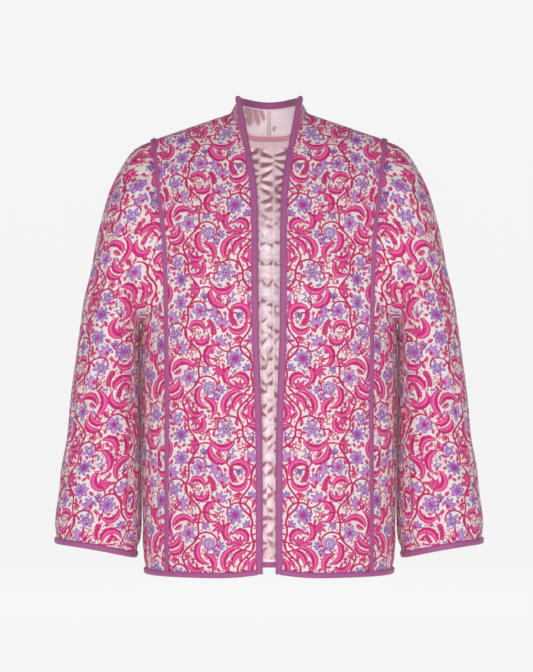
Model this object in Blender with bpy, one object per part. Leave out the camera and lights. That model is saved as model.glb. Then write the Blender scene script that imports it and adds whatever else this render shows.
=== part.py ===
# Quilted open-front jacket, as it stands when it is worn, with nobody inside it.
# Metres, +Z up, the front faces -Y and the wearer's left is +X.
# Heights in the tables are measured up from the hem; the origin is at the back neck seam.
import math
from collections import namedtuple

import bmesh
import bpy
import numpy as np

# Driving sizes
NECK_HEIGHT = 0.636  # back neck seam above the hem
SHOULDER_TIP_HEIGHT = 0.6286  # where the strip crosses the shoulder
SHOULDER_TIP_X = 0.1686
NECK_SHARE = 1 / 3 - 1e-6  # part of the back's width that is neckline
NECK_POINT_X = SHOULDER_TIP_X / 3  # where the shoulder seam meets the collar
SHOULDER_SLOPE = 0.344
ARMHOLE_HEIGHT = 0.400  # where the armhole leaves the strip
UNDERARM_HEIGHT = 0.362
HEM_RISE = 0.006  # the hem lifts towards the front edges
HEM_RISE_REACH = 0.070
PLAN_POWER = 2.3  # superellipse power of the body's plan

# Cloth
WALL = 0.0025  # padded wall at a stitch line
QUILT_RISE = 0.0016  # how far a quilted channel stands above its stitch lines
SEAM_GAP = 0.0003
BOUND_MARGIN = 0.010  # flat border that a binding grips
MARGIN_RAMP = 0.025  # where the padding is full again

# Channels between stitch lines
FRONT_CHANNELS = 7
BACK_CHANNELS = 15
SIDE_CHANNELS = 9
LOWER_ROWS = 4  # grid rows between the hem border and the armhole
ARMHOLE_ROWS = 10
CURVE_POINTS = 361  # points on a curve before it is divided
SETTLING_PASSES = 12  # passes that settle a row's height along a slanted column
NECK_ROWS = 3  # rows of the front that lie along the neckline

# Trim
BIND_CLOTH = 0.0009
BIND_GAP = 0.0007
BIND_GAP_INSIDE = 0.0013
COLLAR_BIND_GAP = 0.0017
BIND_JOIN = 0.0042  # how far each binding stops from the neckline's front corner
FRONT_BIND_WIDTH = 0.0080
HEM_BIND_WIDTH = 0.0070
CUFF_BIND_WIDTH = 0.0090
NECK_BIND_WIDTH = 0.0072
STRIP_WIDTH = 0.0074
STRIP_UNDERSIDE = 0.0014
STRIP_TOP = 0.0023
LINING_CLOTH = 0.0008
LINING_RISE = 0.0014
LINING_GAP = 0.0004
TAPE_WIDTH = 0.0085
TAPE_ABOVE = 0.0045  # how far it stands above the neck seam
TAPE_REACH = 0.28  # how far round the back neck it goes, as a share of the back's half width

# height, half width, depth in front, depth behind
BODY_SECTIONS = [
    (0.000, 0.1800, 0.130, 0.116),
    (0.150, 0.1835, 0.132, 0.113),
    (0.300, 0.1850, 0.131, 0.111),
    (0.400, 0.1855, 0.129, 0.112),
    (0.520, 0.1960, 0.128, 0.116),
    (0.700, 0.2120, 0.126, 0.118),
]

# Where the body leaves the upright and leans to the shoulder seam: start height, power
FRONT_LEAN = (0.400, 1.6)
BACK_LEAN = (0.460, 2.0)

# height, distance of the front edge from the centre line
FRONT_EDGE = [
    (0.000, 0.0110),
    (0.130, 0.0112),
    (0.230, 0.0125),
    (0.330, 0.0164),
    (0.420, 0.0175),
    (0.516, 0.0182),
    (0.555, 0.0198),
    (0.589, 0.0245),
]
NECK_START_X = 0.0278  # the front edge where the collar begins

# height, distance of the strip from the centre line
STRIP_LINE = [
    (0.000, 0.1463),
    (0.300, 0.1463),
    (0.425, 0.1480),
    (0.473, 0.1498),
    (0.509, 0.1539),
    (0.546, 0.1590),
    (0.594, 0.1640),
    (SHOULDER_TIP_HEIGHT, SHOULDER_TIP_X),
    (0.700, 0.1700),
]

# Collar top: height at the front corner and at the back, and its plan
COLLAR_TOP_FRONT = 0.6875
COLLAR_TOP_BACK = 0.6856
COLLAR_SIDE_RISE = 0.0027  # how much higher the top edge is at the sides
COLLAR_HALF_WIDTH = 0.0470
COLLAR_CENTRE_Y = -0.0234
COLLAR_DEPTH_FRONT = 0.031
COLLAR_DEPTH_BACK = 0.0854
COLLAR_PLAN_POWER = 2.2  # 2 would be an ellipse: more turns faster at the front corner
COLLAR_CORNER_ANGLE = math.radians(-16)
COLLAR_ROWS = 4
COLLAR_LINING_START = 0.05  # share of the collar's height
COLLAR_LINING_DROP = 0.0110  # below the collar's top edge
COLLAR_LINING_GAP = 0.0009
COLLAR_LINING_ROWS = 2
COLLAR_LINING_FIRST = 3  # first column clear of the front edge's binding
COLLAR_LIFT = 0.0010  # gap between the neckline and the collar's lower edge
BACK_NECK_POWER = 4.0

# Sleeve rings below the armhole: outer x, outer height, inner x, inner height, half depth
SLEEVE_RINGS = [
    (0.2000, 0.6080, 0.1880, 0.3585, 0.0740),
    (0.2275, 0.5580, 0.1893, 0.3520, 0.0760),
    (0.2425, 0.5070, 0.1897, 0.3430, 0.0780),
    (0.2545, 0.4530, 0.1897, 0.3300, 0.0800),
    (0.2650, 0.4020, 0.1895, 0.3100, 0.0810),
    (0.2738, 0.3510, 0.1893, 0.2850, 0.0815),
    (0.2825, 0.2900, 0.1890, 0.2450, 0.0810),
    (0.2900, 0.2315, 0.1885, 0.1980, 0.0790),
    (0.2964, 0.1760, 0.1880, 0.1500, 0.0765),
    (0.3038, 0.1260, 0.1873, 0.1030, 0.0735),
    (0.3089, 0.0880, 0.1880, 0.0665, 0.0710),
    (0.3103, 0.0431, 0.1940, 0.0226, 0.0690),
]
RING_POWER = 2.1
CUFF_ARCH = 0.0042  # how much higher the cuff is cut in front and behind
# Rings that the solid uses, as positions in the table above; 0 is the armhole itself
SLEEVE_ROWS = [0, 1, 1.5, 2, 3, 4, 5, 6.3, 7.6, 9, 10.4, 11.44, 11.78, 12]
EVEN_COLUMNS_FROM = 4  # ring from which the columns are evenly spaced

COLOURS = {
    "printed_cotton": ((0.72, 0.22, 0.42), 0.85),
    "binding_cotton": ((0.42, 0.12, 0.33), 0.75),
    "satin": ((0.80, 0.58, 0.64), 0.35),
}


# A grid of points on the cloth's outer face at its stitch lines, with the normals there
Panel = namedtuple("Panel", "points normals")


# Curves and grids


def through(table, at):
    """Values of a table's columns at any key, on a smooth curve through its rows."""
    rows = np.array(table, float)
    keys, values = rows[:, 0], rows[:, 1:]
    at = np.clip(np.asarray(at, float), keys[0], keys[-1])
    slopes = np.gradient(values, keys, axis=0)
    left = np.clip(np.searchsorted(keys, at, "right") - 1, 0, len(keys) - 2)
    span = keys[left + 1] - keys[left]
    t = ((at - keys[left]) / span)[..., None]
    span = span[..., None]
    return (
        (2 * t**3 - 3 * t**2 + 1) * values[left]
        + (t**3 - 2 * t**2 + t) * span * slopes[left]
        + (3 * t**2 - 2 * t**3) * values[left + 1]
        + (t**3 - t**2) * span * slopes[left + 1]
    )


def lengths_along(points):
    """Distance of each point from the first, along the line."""
    steps = np.linalg.norm(np.diff(points, axis=0), axis=1)
    return np.concatenate([[0.0], np.cumsum(steps)])


def at_shares(points, shares):
    """Points of a line at these shares of its length."""
    run = lengths_along(points)
    wanted = np.asarray(shares) * run[-1]
    return np.stack([np.interp(wanted, run, points[:, i]) for i in range(3)], axis=-1)


def unit(vectors):
    return vectors / np.maximum(np.linalg.norm(vectors, axis=-1, keepdims=True), 1e-12)


def normals_of(grid, outward, closed=False):
    """Unit normals of a grid of points, on the side that 'outward' points to."""
    if closed:
        wrapped = np.concatenate([grid[:, -1:], grid, grid[:, :1]], axis=1)
        across = np.gradient(wrapped, axis=1)[:, 1:-1]
    else:
        across = np.gradient(grid, axis=1)
    normal = unit(np.cross(across, np.gradient(grid, axis=0)))
    return normal * np.where((normal * outward).sum(axis=-1, keepdims=True) < 0, -1, 1)


# The body's surface


def section(height):
    values = through(BODY_SECTIONS, height)
    return values[..., 0], values[..., 1], values[..., 2]


def strip_x(height):
    return through(STRIP_LINE, height)[..., 0]


def shoulder_height(x):
    return SHOULDER_TIP_HEIGHT + SHOULDER_SLOPE * (SHOULDER_TIP_X - np.abs(x))


def superellipse(share, power):
    return (1 - np.clip(np.abs(share), 0, 1) ** power) ** (1 / power)


def body_y(x, height, side):
    """Depth of the cloth at a place; side is -1 in front and 1 behind."""
    half_width, front, back = section(height)
    depth = front if side < 0 else back
    start, power = FRONT_LEAN if side < 0 else BACK_LEAN
    lean = np.clip((height - start) / (shoulder_height(x) - start), 0, 1)
    plan = superellipse(x / half_width, PLAN_POWER)
    return side * (depth * plan * superellipse(lean, power) + SEAM_GAP / 2)


def body_normals(points, side):
    """Outward normals of a front (-1) or back (1) panel, level with the seam along the shoulder."""
    step = 0.0005
    x, height = points[..., 0], points[..., 2]
    lower = np.minimum(height, shoulder_height(x) - 3 * step)
    slope_x = (body_y(x + step, lower, side) - body_y(x - step, lower, side)) / (2 * step)
    slope_z = (body_y(x, lower + step, side) - body_y(x, lower - step, side)) / (2 * step)
    normal = side * np.stack([-slope_x, np.ones_like(x), -slope_z], axis=-1)
    on_seam = height > shoulder_height(x) - step
    normal[..., 1] = np.where(on_seam, 0, normal[..., 1])
    return unit(normal)


def side_normals(points):
    """Outward normals of the side panel, from the superellipse of its plan."""
    half_width, front, back = section(points[..., 2])
    depth = np.where(points[..., 1] < 0, front, back)
    x = (points[..., 0] / half_width) ** (PLAN_POWER - 1) / half_width
    y = np.abs(points[..., 1] / depth) ** (PLAN_POWER - 1) / depth
    return unit(np.stack([x, np.sign(points[..., 1]) * y, np.zeros_like(x)], axis=-1))


def hem_height(x):
    near = np.clip(1 - (np.abs(x) - FRONT_EDGE[0][1]) / HEM_RISE_REACH, 0, 1)
    return HEM_RISE * near**2


def seam_shares():
    """Row places as shares of the strip's height: close at the hem, then even along the seam."""
    low = np.linspace(MARGIN_RAMP, ARMHOLE_HEIGHT, LOWER_ROWS + 1)
    tall = np.linspace(ARMHOLE_HEIGHT, SHOULDER_TIP_HEIGHT, CURVE_POINTS)
    seam = np.stack([strip_x(tall), body_y(strip_x(tall), tall, -1), tall], axis=-1)
    high = at_shares(seam, np.linspace(0, 1, ARMHOLE_ROWS + 1))[:, 2]
    heights = np.concatenate([[0, BOUND_MARGIN], low, high[1:]])
    return heights / SHOULDER_TIP_HEIGHT


SHARES = seam_shares()
ARMHOLE_ROW = len(SHARES) - 1 - ARMHOLE_ROWS
NECK_START_ROW = len(SHARES) - 1 - NECK_ROWS
NECK_POINT_HEIGHT = float(shoulder_height(NECK_POINT_X))
NECK_START_HEIGHT = HEM_RISE + SHARES[NECK_START_ROW] * (NECK_POINT_HEIGHT - HEM_RISE)


def front_edge_x(height):
    """The front edge up to the collar, and above that the neckline to the shoulder."""
    edge = through([*FRONT_EDGE, (NECK_START_HEIGHT, NECK_START_X)], height)[..., 0]
    up = np.clip(
        (height - NECK_START_HEIGHT) / (NECK_POINT_HEIGHT - NECK_START_HEIGHT), 0, 1
    )
    return edge + (NECK_POINT_X - NECK_START_X) * up


def front_grid(across):
    """Front panel at +X: rows up from the hem, columns from the front edge to the strip."""
    share, across = np.meshgrid(SHARES, across, indexing="ij")
    height = share * NECK_POINT_HEIGHT
    for _ in range(SETTLING_PASSES):
        outer = strip_x(height) - SEAM_GAP
        x = front_edge_x(height) * (1 - across) + outer * across
        low = hem_height(x)
        height = low + share * (shoulder_height(x) - low)
    return np.stack([x, body_y(x, height, -1), height], axis=-1)


def back_neck_height(x):
    rise = (np.abs(x) / NECK_POINT_X) ** BACK_NECK_POWER
    return NECK_HEIGHT + (NECK_POINT_HEIGHT - NECK_HEIGHT) * rise


def back_grid(across):
    """Back panel: columns from -1 at one strip to 1 at the other."""
    share, across = np.meshgrid(SHARES, across, indexing="ij")
    height = share * NECK_HEIGHT
    for _ in range(SETTLING_PASSES):
        x = across * (strip_x(height) - SEAM_GAP)
        in_neck = np.abs(across) < NECK_SHARE
        top = np.where(in_neck, back_neck_height(x), shoulder_height(x))
        height = share * top
    return np.stack([x, body_y(x, height, 1), height], axis=-1)


def side_line(height):
    """The body's plan round the side at one height, from strip to strip."""
    half_width, front, back = (float(value) for value in section(height))
    reach = float(strip_x(height)) + SEAM_GAP
    turn = math.acos((reach / half_width) ** (PLAN_POWER / 2))
    angle = np.linspace(-turn, turn, CURVE_POINTS)
    x = half_width * np.cos(angle) ** (2 / PLAN_POWER)
    depth = np.where(angle < 0, front, back)
    y = np.sign(angle) * depth * np.abs(np.sin(angle)) ** (2 / PLAN_POWER)
    return np.stack([x, y, np.full_like(x, height)], axis=-1)


def side_top(across):
    """Height of the side panel's top edge, lowest under the arm."""
    return UNDERARM_HEIGHT + (ARMHOLE_HEIGHT - UNDERARM_HEIGHT) * (2 * across - 1) ** 2


def side_grid(across):
    """Side panel at +X: columns from the front strip round to the back strip."""
    shares = SHARES[: ARMHOLE_ROW + 1] / SHARES[ARMHOLE_ROW]
    grid = np.empty((len(shares), len(across), 3))
    for row, share in enumerate(shares):
        for column, place in enumerate(across):
            height = share * (side_top(place) - SEAM_GAP)
            grid[row, column] = at_shares(side_line(height), [place])[0]
    return grid


# Columns of each panel: one on each stitch line and one on each crown between two


def channel_columns(channels):
    return np.linspace(0, 1, 2 * channels + 1)


def crown_at(place, channels):
    """0 on a stitch line and 1 midway between two, for places from 0 to 1."""
    return 1 - np.abs(2 * (np.clip(place, 0, 1) * channels % 1) - 1)


FRONT_BORDER_SHARE = 0.075  # the flat border by the front edge, as a share of the panel
FRONT_COLUMNS = np.concatenate(
    [
        [0.0],
        FRONT_BORDER_SHARE
        + (1 - FRONT_BORDER_SHARE) * channel_columns(FRONT_CHANNELS),
    ]
)
NECK_COLUMNS = [0.300, 0.322]  # more columns where the neckline turns
BACK_COLUMNS = np.sort(
    np.concatenate(
        [
            2 * channel_columns(BACK_CHANNELS) - 1,
            NECK_COLUMNS,
            np.negative(NECK_COLUMNS),
        ]
    )
)
SIDE_COLUMNS = channel_columns(SIDE_CHANNELS)


def row_fade(count, flat_rows, ends_flat=True):
    fade = np.ones(count)
    fade[:flat_rows] = 0
    if ends_flat:
        fade[-1] = 0
    return fade


# Solids


def finish(name, mesh_data, material, root):
    """Turns a bmesh into a named object with its faces pointing out."""
    bmesh.ops.recalc_face_normals(mesh_data, faces=mesh_data.faces)
    mesh = bpy.data.meshes.new(name)
    mesh_data.to_mesh(mesh)
    mesh_data.free()
    mesh.materials.append(material)
    mesh.shade_smooth()
    mesh.set_sharp_from_angle(angle=math.radians(50))
    part = bpy.data.objects.new(name, mesh)
    part.parent = root
    root.users_collection[0].objects.link(part)
    return part


def wall(name, outer, inner, partners, material, root, closed=False):
    """A closed wall between two grids; partners are the outer columns that have an inner one."""
    data = bmesh.new()
    out = [[data.verts.new(point) for point in row] for row in outer]
    ins = [[data.verts.new(point) for point in row] for row in inner]
    columns = len(out[0])
    spans = columns if closed else columns - 1
    inner_spans = len(partners) if closed else len(partners) - 1
    for below, above in zip(out[:-1], out[1:]):
        for c in range(spans):
            d = (c + 1) % columns
            data.faces.new((below[c], below[d], above[d], above[c]))
    for below, above in zip(ins[:-1], ins[1:]):
        for c in range(inner_spans):
            d = (c + 1) % len(partners)
            data.faces.new((below[c], above[c], above[d], below[d]))
    for row in (0, -1):
        for c in range(inner_spans):
            d = (c + 1) % len(partners)
            end = partners[d] if partners[d] > partners[c] else columns
            edge = [out[row][k % columns] for k in range(partners[c], end + 1)]
            data.faces.new([*edge, ins[row][d], ins[row][c]])
    if not closed:
        for side in (0, -1):
            for row in range(len(out) - 1):
                data.faces.new(
                    (out[row][side], out[row + 1][side], ins[row + 1][side], ins[row][side])
                )
    return finish(name, data, material, root)


def swept(name, rings, material, root, closed=False):
    """A closed solid through equal rings of points along a path."""
    data = bmesh.new()
    made = [[data.verts.new(point) for point in ring] for ring in rings]
    count = len(made[0])
    pairs = list(zip(made[:-1], made[1:]))
    if closed:
        pairs.append((made[-1], made[0]))
    for one, two in pairs:
        for k in range(count):
            m = (k + 1) % count
            data.faces.new((one[k], one[m], two[m], two[k]))
    if not closed:
        data.faces.new(made[0])
        data.faces.new(list(reversed(made[-1])))
    return finish(name, data, material, root)


def binding_rings(edge, normal, into, width, gap=BIND_GAP):
    """A folded binding's section at each point of an edge, gripping the wall from both sides."""
    top = gap + BIND_CLOTH
    low = -(WALL + gap + BIND_GAP_INSIDE - BIND_GAP)
    profile = [
        (width, top),
        (-gap, top),
        (-(gap + BIND_CLOTH), (gap + low) / 2),
        (-gap, low - BIND_CLOTH),
        (width, low - BIND_CLOTH),
        (width, low),
        (-gap, low),
        (-gap, gap),
        (width, gap),
    ]
    return [
        [point + inward * along + out * up for along, up in profile]
        for point, out, inward in zip(edge, normal, into)
    ]


def square_to(along, vectors):
    """Unit vectors with what lies along a line taken out of them."""
    along = unit(along)
    return unit(vectors - along * (vectors * along).sum(axis=1, keepdims=True))


def mirrored(panel, sign):
    flip = np.array([sign, 1.0, 1.0])
    return Panel(panel.points * flip, panel.normals * flip)


def padded_wall(name, panel, crown, fade, partners, material, root, closed=False):
    """A quilted wall: crowns raised on the outside, a plain inside."""
    rise = QUILT_RISE * fade[:, None] * crown[None, :]
    outer = panel.points + panel.normals * rise[..., None]
    inner = (panel.points - panel.normals * WALL)[:, partners]
    return wall(name, outer, inner, partners, material, root, closed)


# Sleeve


def armhole_loop(front, back, side):
    """The armhole from the shoulder down the front strip, under the arm and up the back."""
    shift = np.array([2 * SEAM_GAP, 0, 0])
    down_front = front[ARMHOLE_ROW:, -1][::-1] + shift
    under = side[-1] + np.array([0, 0, 2 * SEAM_GAP])
    up_back = back[ARMHOLE_ROW:, -1] + shift
    return np.concatenate([down_front[:-1], under, up_back[1:-1]])


def sleeve_ring(place):
    """A dense sleeve ring at a place in the table, from its outer point round the front."""
    table = [(index + 1, *row) for index, row in enumerate(SLEEVE_RINGS)]
    outer_x, outer_z, inner_x, inner_z, depth = through(table, place)
    angle = np.linspace(0, 2 * math.pi, CURVE_POINTS)
    reach = np.sign(np.cos(angle)) * np.abs(np.cos(angle)) ** (2 / RING_POWER)
    side = -np.sign(np.sin(angle)) * np.abs(np.sin(angle)) ** (2 / RING_POWER)
    x = (outer_x + inner_x) / 2 + (outer_x - inner_x) / 2 * reach
    z = (outer_z + inner_z) / 2 + (outer_z - inner_z) / 2 * reach
    z += CUFF_ARCH * np.clip((place - 10) / 2, 0, 1) ** 2 * side**2
    return np.stack([x, depth * side, z], axis=-1)


def sleeve_grid(loop):
    """Sleeve at +X: rows from the armhole to the cuff, columns round it."""
    start = lengths_along(np.concatenate([loop, loop[:1]]))
    start = start[:-1] / start[-1]
    even = np.arange(len(loop)) / len(loop)
    rows = [loop]
    for place in SLEEVE_ROWS[1:]:
        blend = min(1.0, place / EVEN_COLUMNS_FROM)
        rows.append(at_shares(sleeve_ring(place), start * (1 - blend) + even * blend))
    return np.array(rows)


# Collar


def collar_top_line():
    """The collar's top edge from the front corner to the centre back."""
    angle = np.linspace(COLLAR_CORNER_ANGLE, math.pi / 2, CURVE_POINTS)
    depth = np.where(angle < 0, COLLAR_DEPTH_FRONT, COLLAR_DEPTH_BACK)
    share = (angle - angle[0]) / (angle[-1] - angle[0])
    height = COLLAR_TOP_FRONT + (COLLAR_TOP_BACK - COLLAR_TOP_FRONT) * share**2
    height += COLLAR_SIDE_RISE * np.sin(math.pi * share**0.8)
    power = 2 / COLLAR_PLAN_POWER
    x = COLLAR_HALF_WIDTH * np.abs(np.cos(angle)) ** power
    y = COLLAR_CENTRE_Y + depth * np.sign(angle) * np.abs(np.sin(angle)) ** power
    return np.stack([x, y, height], axis=-1)


def neck_columns():
    """The back's columns from the centre to the shoulder seam's neck end."""
    return np.flatnonzero((BACK_COLUMNS > -1e-6) & (BACK_COLUMNS < 1 / 3 + 1e-6))


def collar_edges(front, back):
    """The collar's lower and top edges at +X, from the front edge to the centre back."""
    in_front = front[NECK_START_ROW:, 0]
    behind = back[-1, neck_columns()][::-1]
    corners = np.concatenate([in_front, behind[1:]])
    low = np.empty((2 * len(corners) - 1, 3))
    low[::2] = corners
    low[1::2] = (corners[:-1] + corners[1:]) / 2
    low[:, 2] += COLLAR_LIFT
    run = lengths_along(low)
    top = at_shares(collar_top_line(), run / run[-1])
    low[-1, 0] = top[-1, 0] = SEAM_GAP / 2
    return low, top


def collar_between(edges, up):
    """Points and normals of the collar at these shares of its height, one row for each."""
    low, top = edges
    points = low * (1 - up) + top * up
    outward = (points - np.array([0, COLLAR_CENTRE_Y, 0])) * np.array([1, 1, 0])
    normals = normals_of(points, outward)
    normals[:, -1, 0] = 0  # square to the centre-back seam
    return Panel(points, unit(normals))


# Building the parts


def cloth(name):
    colour, roughness = COLOURS[name]
    material = bpy.data.materials.new(name)
    material.use_nodes = True
    shader = material.node_tree.nodes["Principled BSDF"]
    shader.inputs["Base Color"].default_value = (*colour, 1)
    shader.inputs["Roughness"].default_value = roughness
    shader.inputs["Metallic"].default_value = 0
    return material


def panels_at_left():
    """Every panel of the wearer's left side, and the whole back."""
    front = front_grid(FRONT_COLUMNS)
    back = back_grid(BACK_COLUMNS)
    side = side_grid(SIDE_COLUMNS)
    sleeve = sleeve_grid(armhole_loop(front, back, side))
    edges = collar_edges(front, back)
    height = np.linalg.norm(edges[1] - edges[0], axis=1)[:, None]
    below_binding = 1 - COLLAR_LINING_DROP / height
    lining_rows = np.linspace(0, 1, COLLAR_LINING_ROWS + 1)[:, None, None]
    lining_rows = COLLAR_LINING_START * (1 - lining_rows) + below_binding * lining_rows
    out_of_sleeve = sleeve - sleeve.mean(axis=1, keepdims=True)
    return {
        "front": Panel(front, body_normals(front, -1)),
        "back": Panel(back, body_normals(back, 1)),
        "side": Panel(side, side_normals(side)),
        "sleeve": Panel(sleeve, normals_of(sleeve, out_of_sleeve, closed=True)),
        "collar": collar_between(edges, np.linspace(0, 1, COLLAR_ROWS + 1)[:, None, None]),
        "collar_lining": collar_between(edges, lining_rows),
    }


def build_front(word, front, printed, root):
    fade = row_fade(len(SHARES), flat_rows=2)
    place = (FRONT_COLUMNS - FRONT_BORDER_SHARE) / (1 - FRONT_BORDER_SHARE)
    crown = crown_at(place, FRONT_CHANNELS)
    partners = [0, *range(1, len(crown), 2)]
    padded_wall(f"front_{word}", front, crown, fade, partners, printed, root)


def build_side(word, side, printed, root):
    fade = row_fade(len(side.points), flat_rows=2)
    crown = crown_at(SIDE_COLUMNS, SIDE_CHANNELS)
    partners = list(range(0, len(crown), 2))
    padded_wall(f"side_{word}", side, crown, fade, partners, printed, root)


def build_sleeve(word, sleeve, printed, root):
    rows, columns = sleeve.points.shape[:2]
    fade = row_fade(rows, flat_rows=2)[::-1]
    crown = crown_at(np.arange(columns) / columns, columns // 2)
    partners = list(range(0, columns, 2))
    padded_wall(f"sleeve_{word}", sleeve, crown, fade, partners, printed, root, closed=True)


def build_collar(word, collar, printed, root):
    inner = collar.points - collar.normals * WALL
    partners = list(range(inner.shape[1]))
    wall(f"collar_{word}", collar.points, inner, partners, printed, root)


def build_front_binding(word, front, bound, root):
    """The binding up the front edge, from the hem to the collar."""
    rows = slice(0, NECK_START_ROW + 1)
    edge, out = front.points[rows, 0].copy(), front.normals[rows, 0]
    along = unit(np.gradient(edge, axis=0))
    into = square_to(along, front.points[rows, 1] - edge)
    edge[0] -= along[0] * (2 * SEAM_GAP + BIND_CLOTH)
    edge[-1] -= along[-1] * BIND_JOIN
    rings = binding_rings(edge, square_to(along, out), into, FRONT_BIND_WIDTH)
    swept(f"binding_front_{word}", rings, bound, root)


def build_strip(word, front, back, side, sleeve, bound, root):
    """The strip over the seam, from the front hem over the shoulder to the back hem."""
    column, beside = (-1, -2) if front.points[0, -1, 0] > 0 else (0, 1)
    low = slice(1, ARMHOLE_ROW)
    round_arm = np.arange(ARMHOLE_ROWS, -ARMHOLE_ROWS - 1, -1)

    def over_shoulder(front_rows, back_rows):
        return np.concatenate([front_rows[1:], back_rows[1:-1][::-1]])

    def over_arm(front_rows, armhole, back_rows):
        return np.concatenate([front_rows[low], armhole, back_rows[low][::-1]])

    path = over_shoulder(front.points[:, -1], back.points[:, column])
    on_body = over_shoulder(front.points[:, -2], back.points[:, beside])
    out_body = over_shoulder(front.normals[:, -1], back.normals[:, column])
    edge = over_arm(side.points[:, 0], sleeve.points[0, round_arm], side.points[:, -1])
    on_arm = over_arm(side.points[:, 1], sleeve.points[1, round_arm], side.points[:, -2])
    out_arm = over_arm(side.normals[:, 0], sleeve.normals[0, round_arm], side.normals[:, -1])
    along = np.gradient(path, axis=0)
    to_body = square_to(along, on_body - path) * STRIP_WIDTH / 2
    to_arm = square_to(along, on_arm - edge) * STRIP_WIDTH / 2
    upward = unit(out_body + out_arm)
    layers = []
    for level in (STRIP_UNDERSIDE, STRIP_TOP):
        layers += [
            path + to_body + out_body * level,
            path + upward * level,
            path + to_arm + out_arm * level,
        ]
    under_and_back_over = [0, 1, 2, 5, 4, 3]
    rings = np.stack([layers[k] for k in under_and_back_over], axis=1)
    swept(f"strip_{word}", rings, bound, root)


def build_cuff_binding(word, sleeve, bound, root):
    into = unit(sleeve.points[-2] - sleeve.points[-1])
    rings = binding_rings(sleeve.points[-1], sleeve.normals[-1], into, CUFF_BIND_WIDTH)
    swept(f"binding_cuff_{word}", rings, bound, root, closed=True)


def build_collar_lining(word, lining, satin, root):
    """Satin inside the collar, clear of the binding's inner legs."""
    clear = slice(COLLAR_LINING_FIRST, None)
    points, inward = lining.points[:, clear], -lining.normals[:, clear]
    hidden = points + inward * (WALL + COLLAR_LINING_GAP)
    shown = hidden + inward * LINING_CLOTH
    partners = list(range(hidden.shape[1]))
    wall(f"collar_lining_{word}", hidden, shown, partners, satin, root)


def build_back(back, printed, satin, root):
    fade = row_fade(len(SHARES), flat_rows=2)
    crown = crown_at((BACK_COLUMNS + 1) / 2, BACK_CHANNELS)
    in_neck = np.abs(BACK_COLUMNS) < NECK_SHARE
    partners = np.flatnonzero((crown < 0.01) | in_neck).tolist()
    padded_wall("back", back, crown, fade, partners, printed, root)
    rise = LINING_RISE * fade[:, None] * crown[None, :]
    inside = WALL + LINING_GAP
    shown = back.points - back.normals * (inside + LINING_CLOTH + rise)[..., None]
    hidden = (back.points - back.normals * inside)[:, partners]
    rows = [*range(1, ARMHOLE_ROW + 3), *range(ARMHOLE_ROW + 4, len(SHARES) - 1, 2)]
    wall("back_lining", shown[rows], hidden[rows], partners, satin, root)


def build_neck_tape(back, satin, root):
    """Flat tape over the neck seam, inside."""
    columns = np.flatnonzero(np.abs(BACK_COLUMNS) < TAPE_REACH)
    edge, out = back.points[-1, columns], back.normals[-1, columns]
    down = unit(back.points[-2, columns] - edge)
    near = WALL + 2 * LINING_GAP + LINING_CLOTH + LINING_RISE
    far = near + LINING_CLOTH
    top, foot = -TAPE_ABOVE, TAPE_WIDTH - TAPE_ABOVE
    profile = [(top, near), (foot, near), (foot, far), (top, far)]
    rings = [
        [point + drop * low - up * deep for low, deep in profile]
        for point, up, drop in zip(edge, out, down)
    ]
    swept("neck_tape", rings, satin, root)


def both_halves(half):
    """A line from the left front to the centre back, carried on to the right front."""
    other = (half * np.array([-1.0, 1.0, 1.0]))[::-1]
    return np.concatenate([half[:-1], [[0.0, *half[-1][1:]]], other[1:]])


def build_hem_binding(front, side, back, bound, root):
    """One binding round the hem, from one front border to the other."""
    half_back = slice(len(BACK_COLUMNS) // 2, -1)

    def hem(row):
        front_row, back_row = row(front)[1:], row(back)[half_back][::-1]
        return both_halves(np.concatenate([front_row, row(side), back_row]))

    edge = hem(lambda panel: panel.points[0])
    out = unit(hem(lambda panel: panel.normals[0]))
    into = unit(hem(lambda panel: panel.points[1] - panel.points[0]))
    rings = binding_rings(edge, out, into, HEM_BIND_WIDTH)
    swept("binding_hem", rings, bound, root)


def build_neck_binding(collar, bound, root):
    """One binding round the collar: up one front edge, along the top and down the other."""
    corner = collar.points[-1, :1]
    edge = np.concatenate([collar.points[:-1, 0], corner, collar.points[-1, 1:]])
    out = np.concatenate([collar.normals[:, 0], collar.normals[-1, 1:]])
    from_front = square_to(
        np.gradient(collar.points[:, 0], axis=0), collar.points[:, 1] - collar.points[:, 0]
    )
    from_top = square_to(
        np.gradient(collar.points[-1], axis=0), collar.points[0] - collar.points[-1]
    )
    mitre = from_front[-1:] + from_top[:1]
    into = np.concatenate([from_front[:-1], mitre, from_top[1:]])
    along_neck = unit(collar.points[0, 1] - collar.points[0, 0])
    into[0] = along_neck / np.dot(along_neck, into[0])  # its end slopes with the neckline
    edge[0] += unit(edge[1] - edge[0]) * BIND_JOIN
    edge, out, into = both_halves(edge), unit(both_halves(out)), both_halves(into)
    rings = binding_rings(edge, out, into, NECK_BIND_WIDTH, COLLAR_BIND_GAP)
    swept("binding_neck", rings, bound, root)


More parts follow.
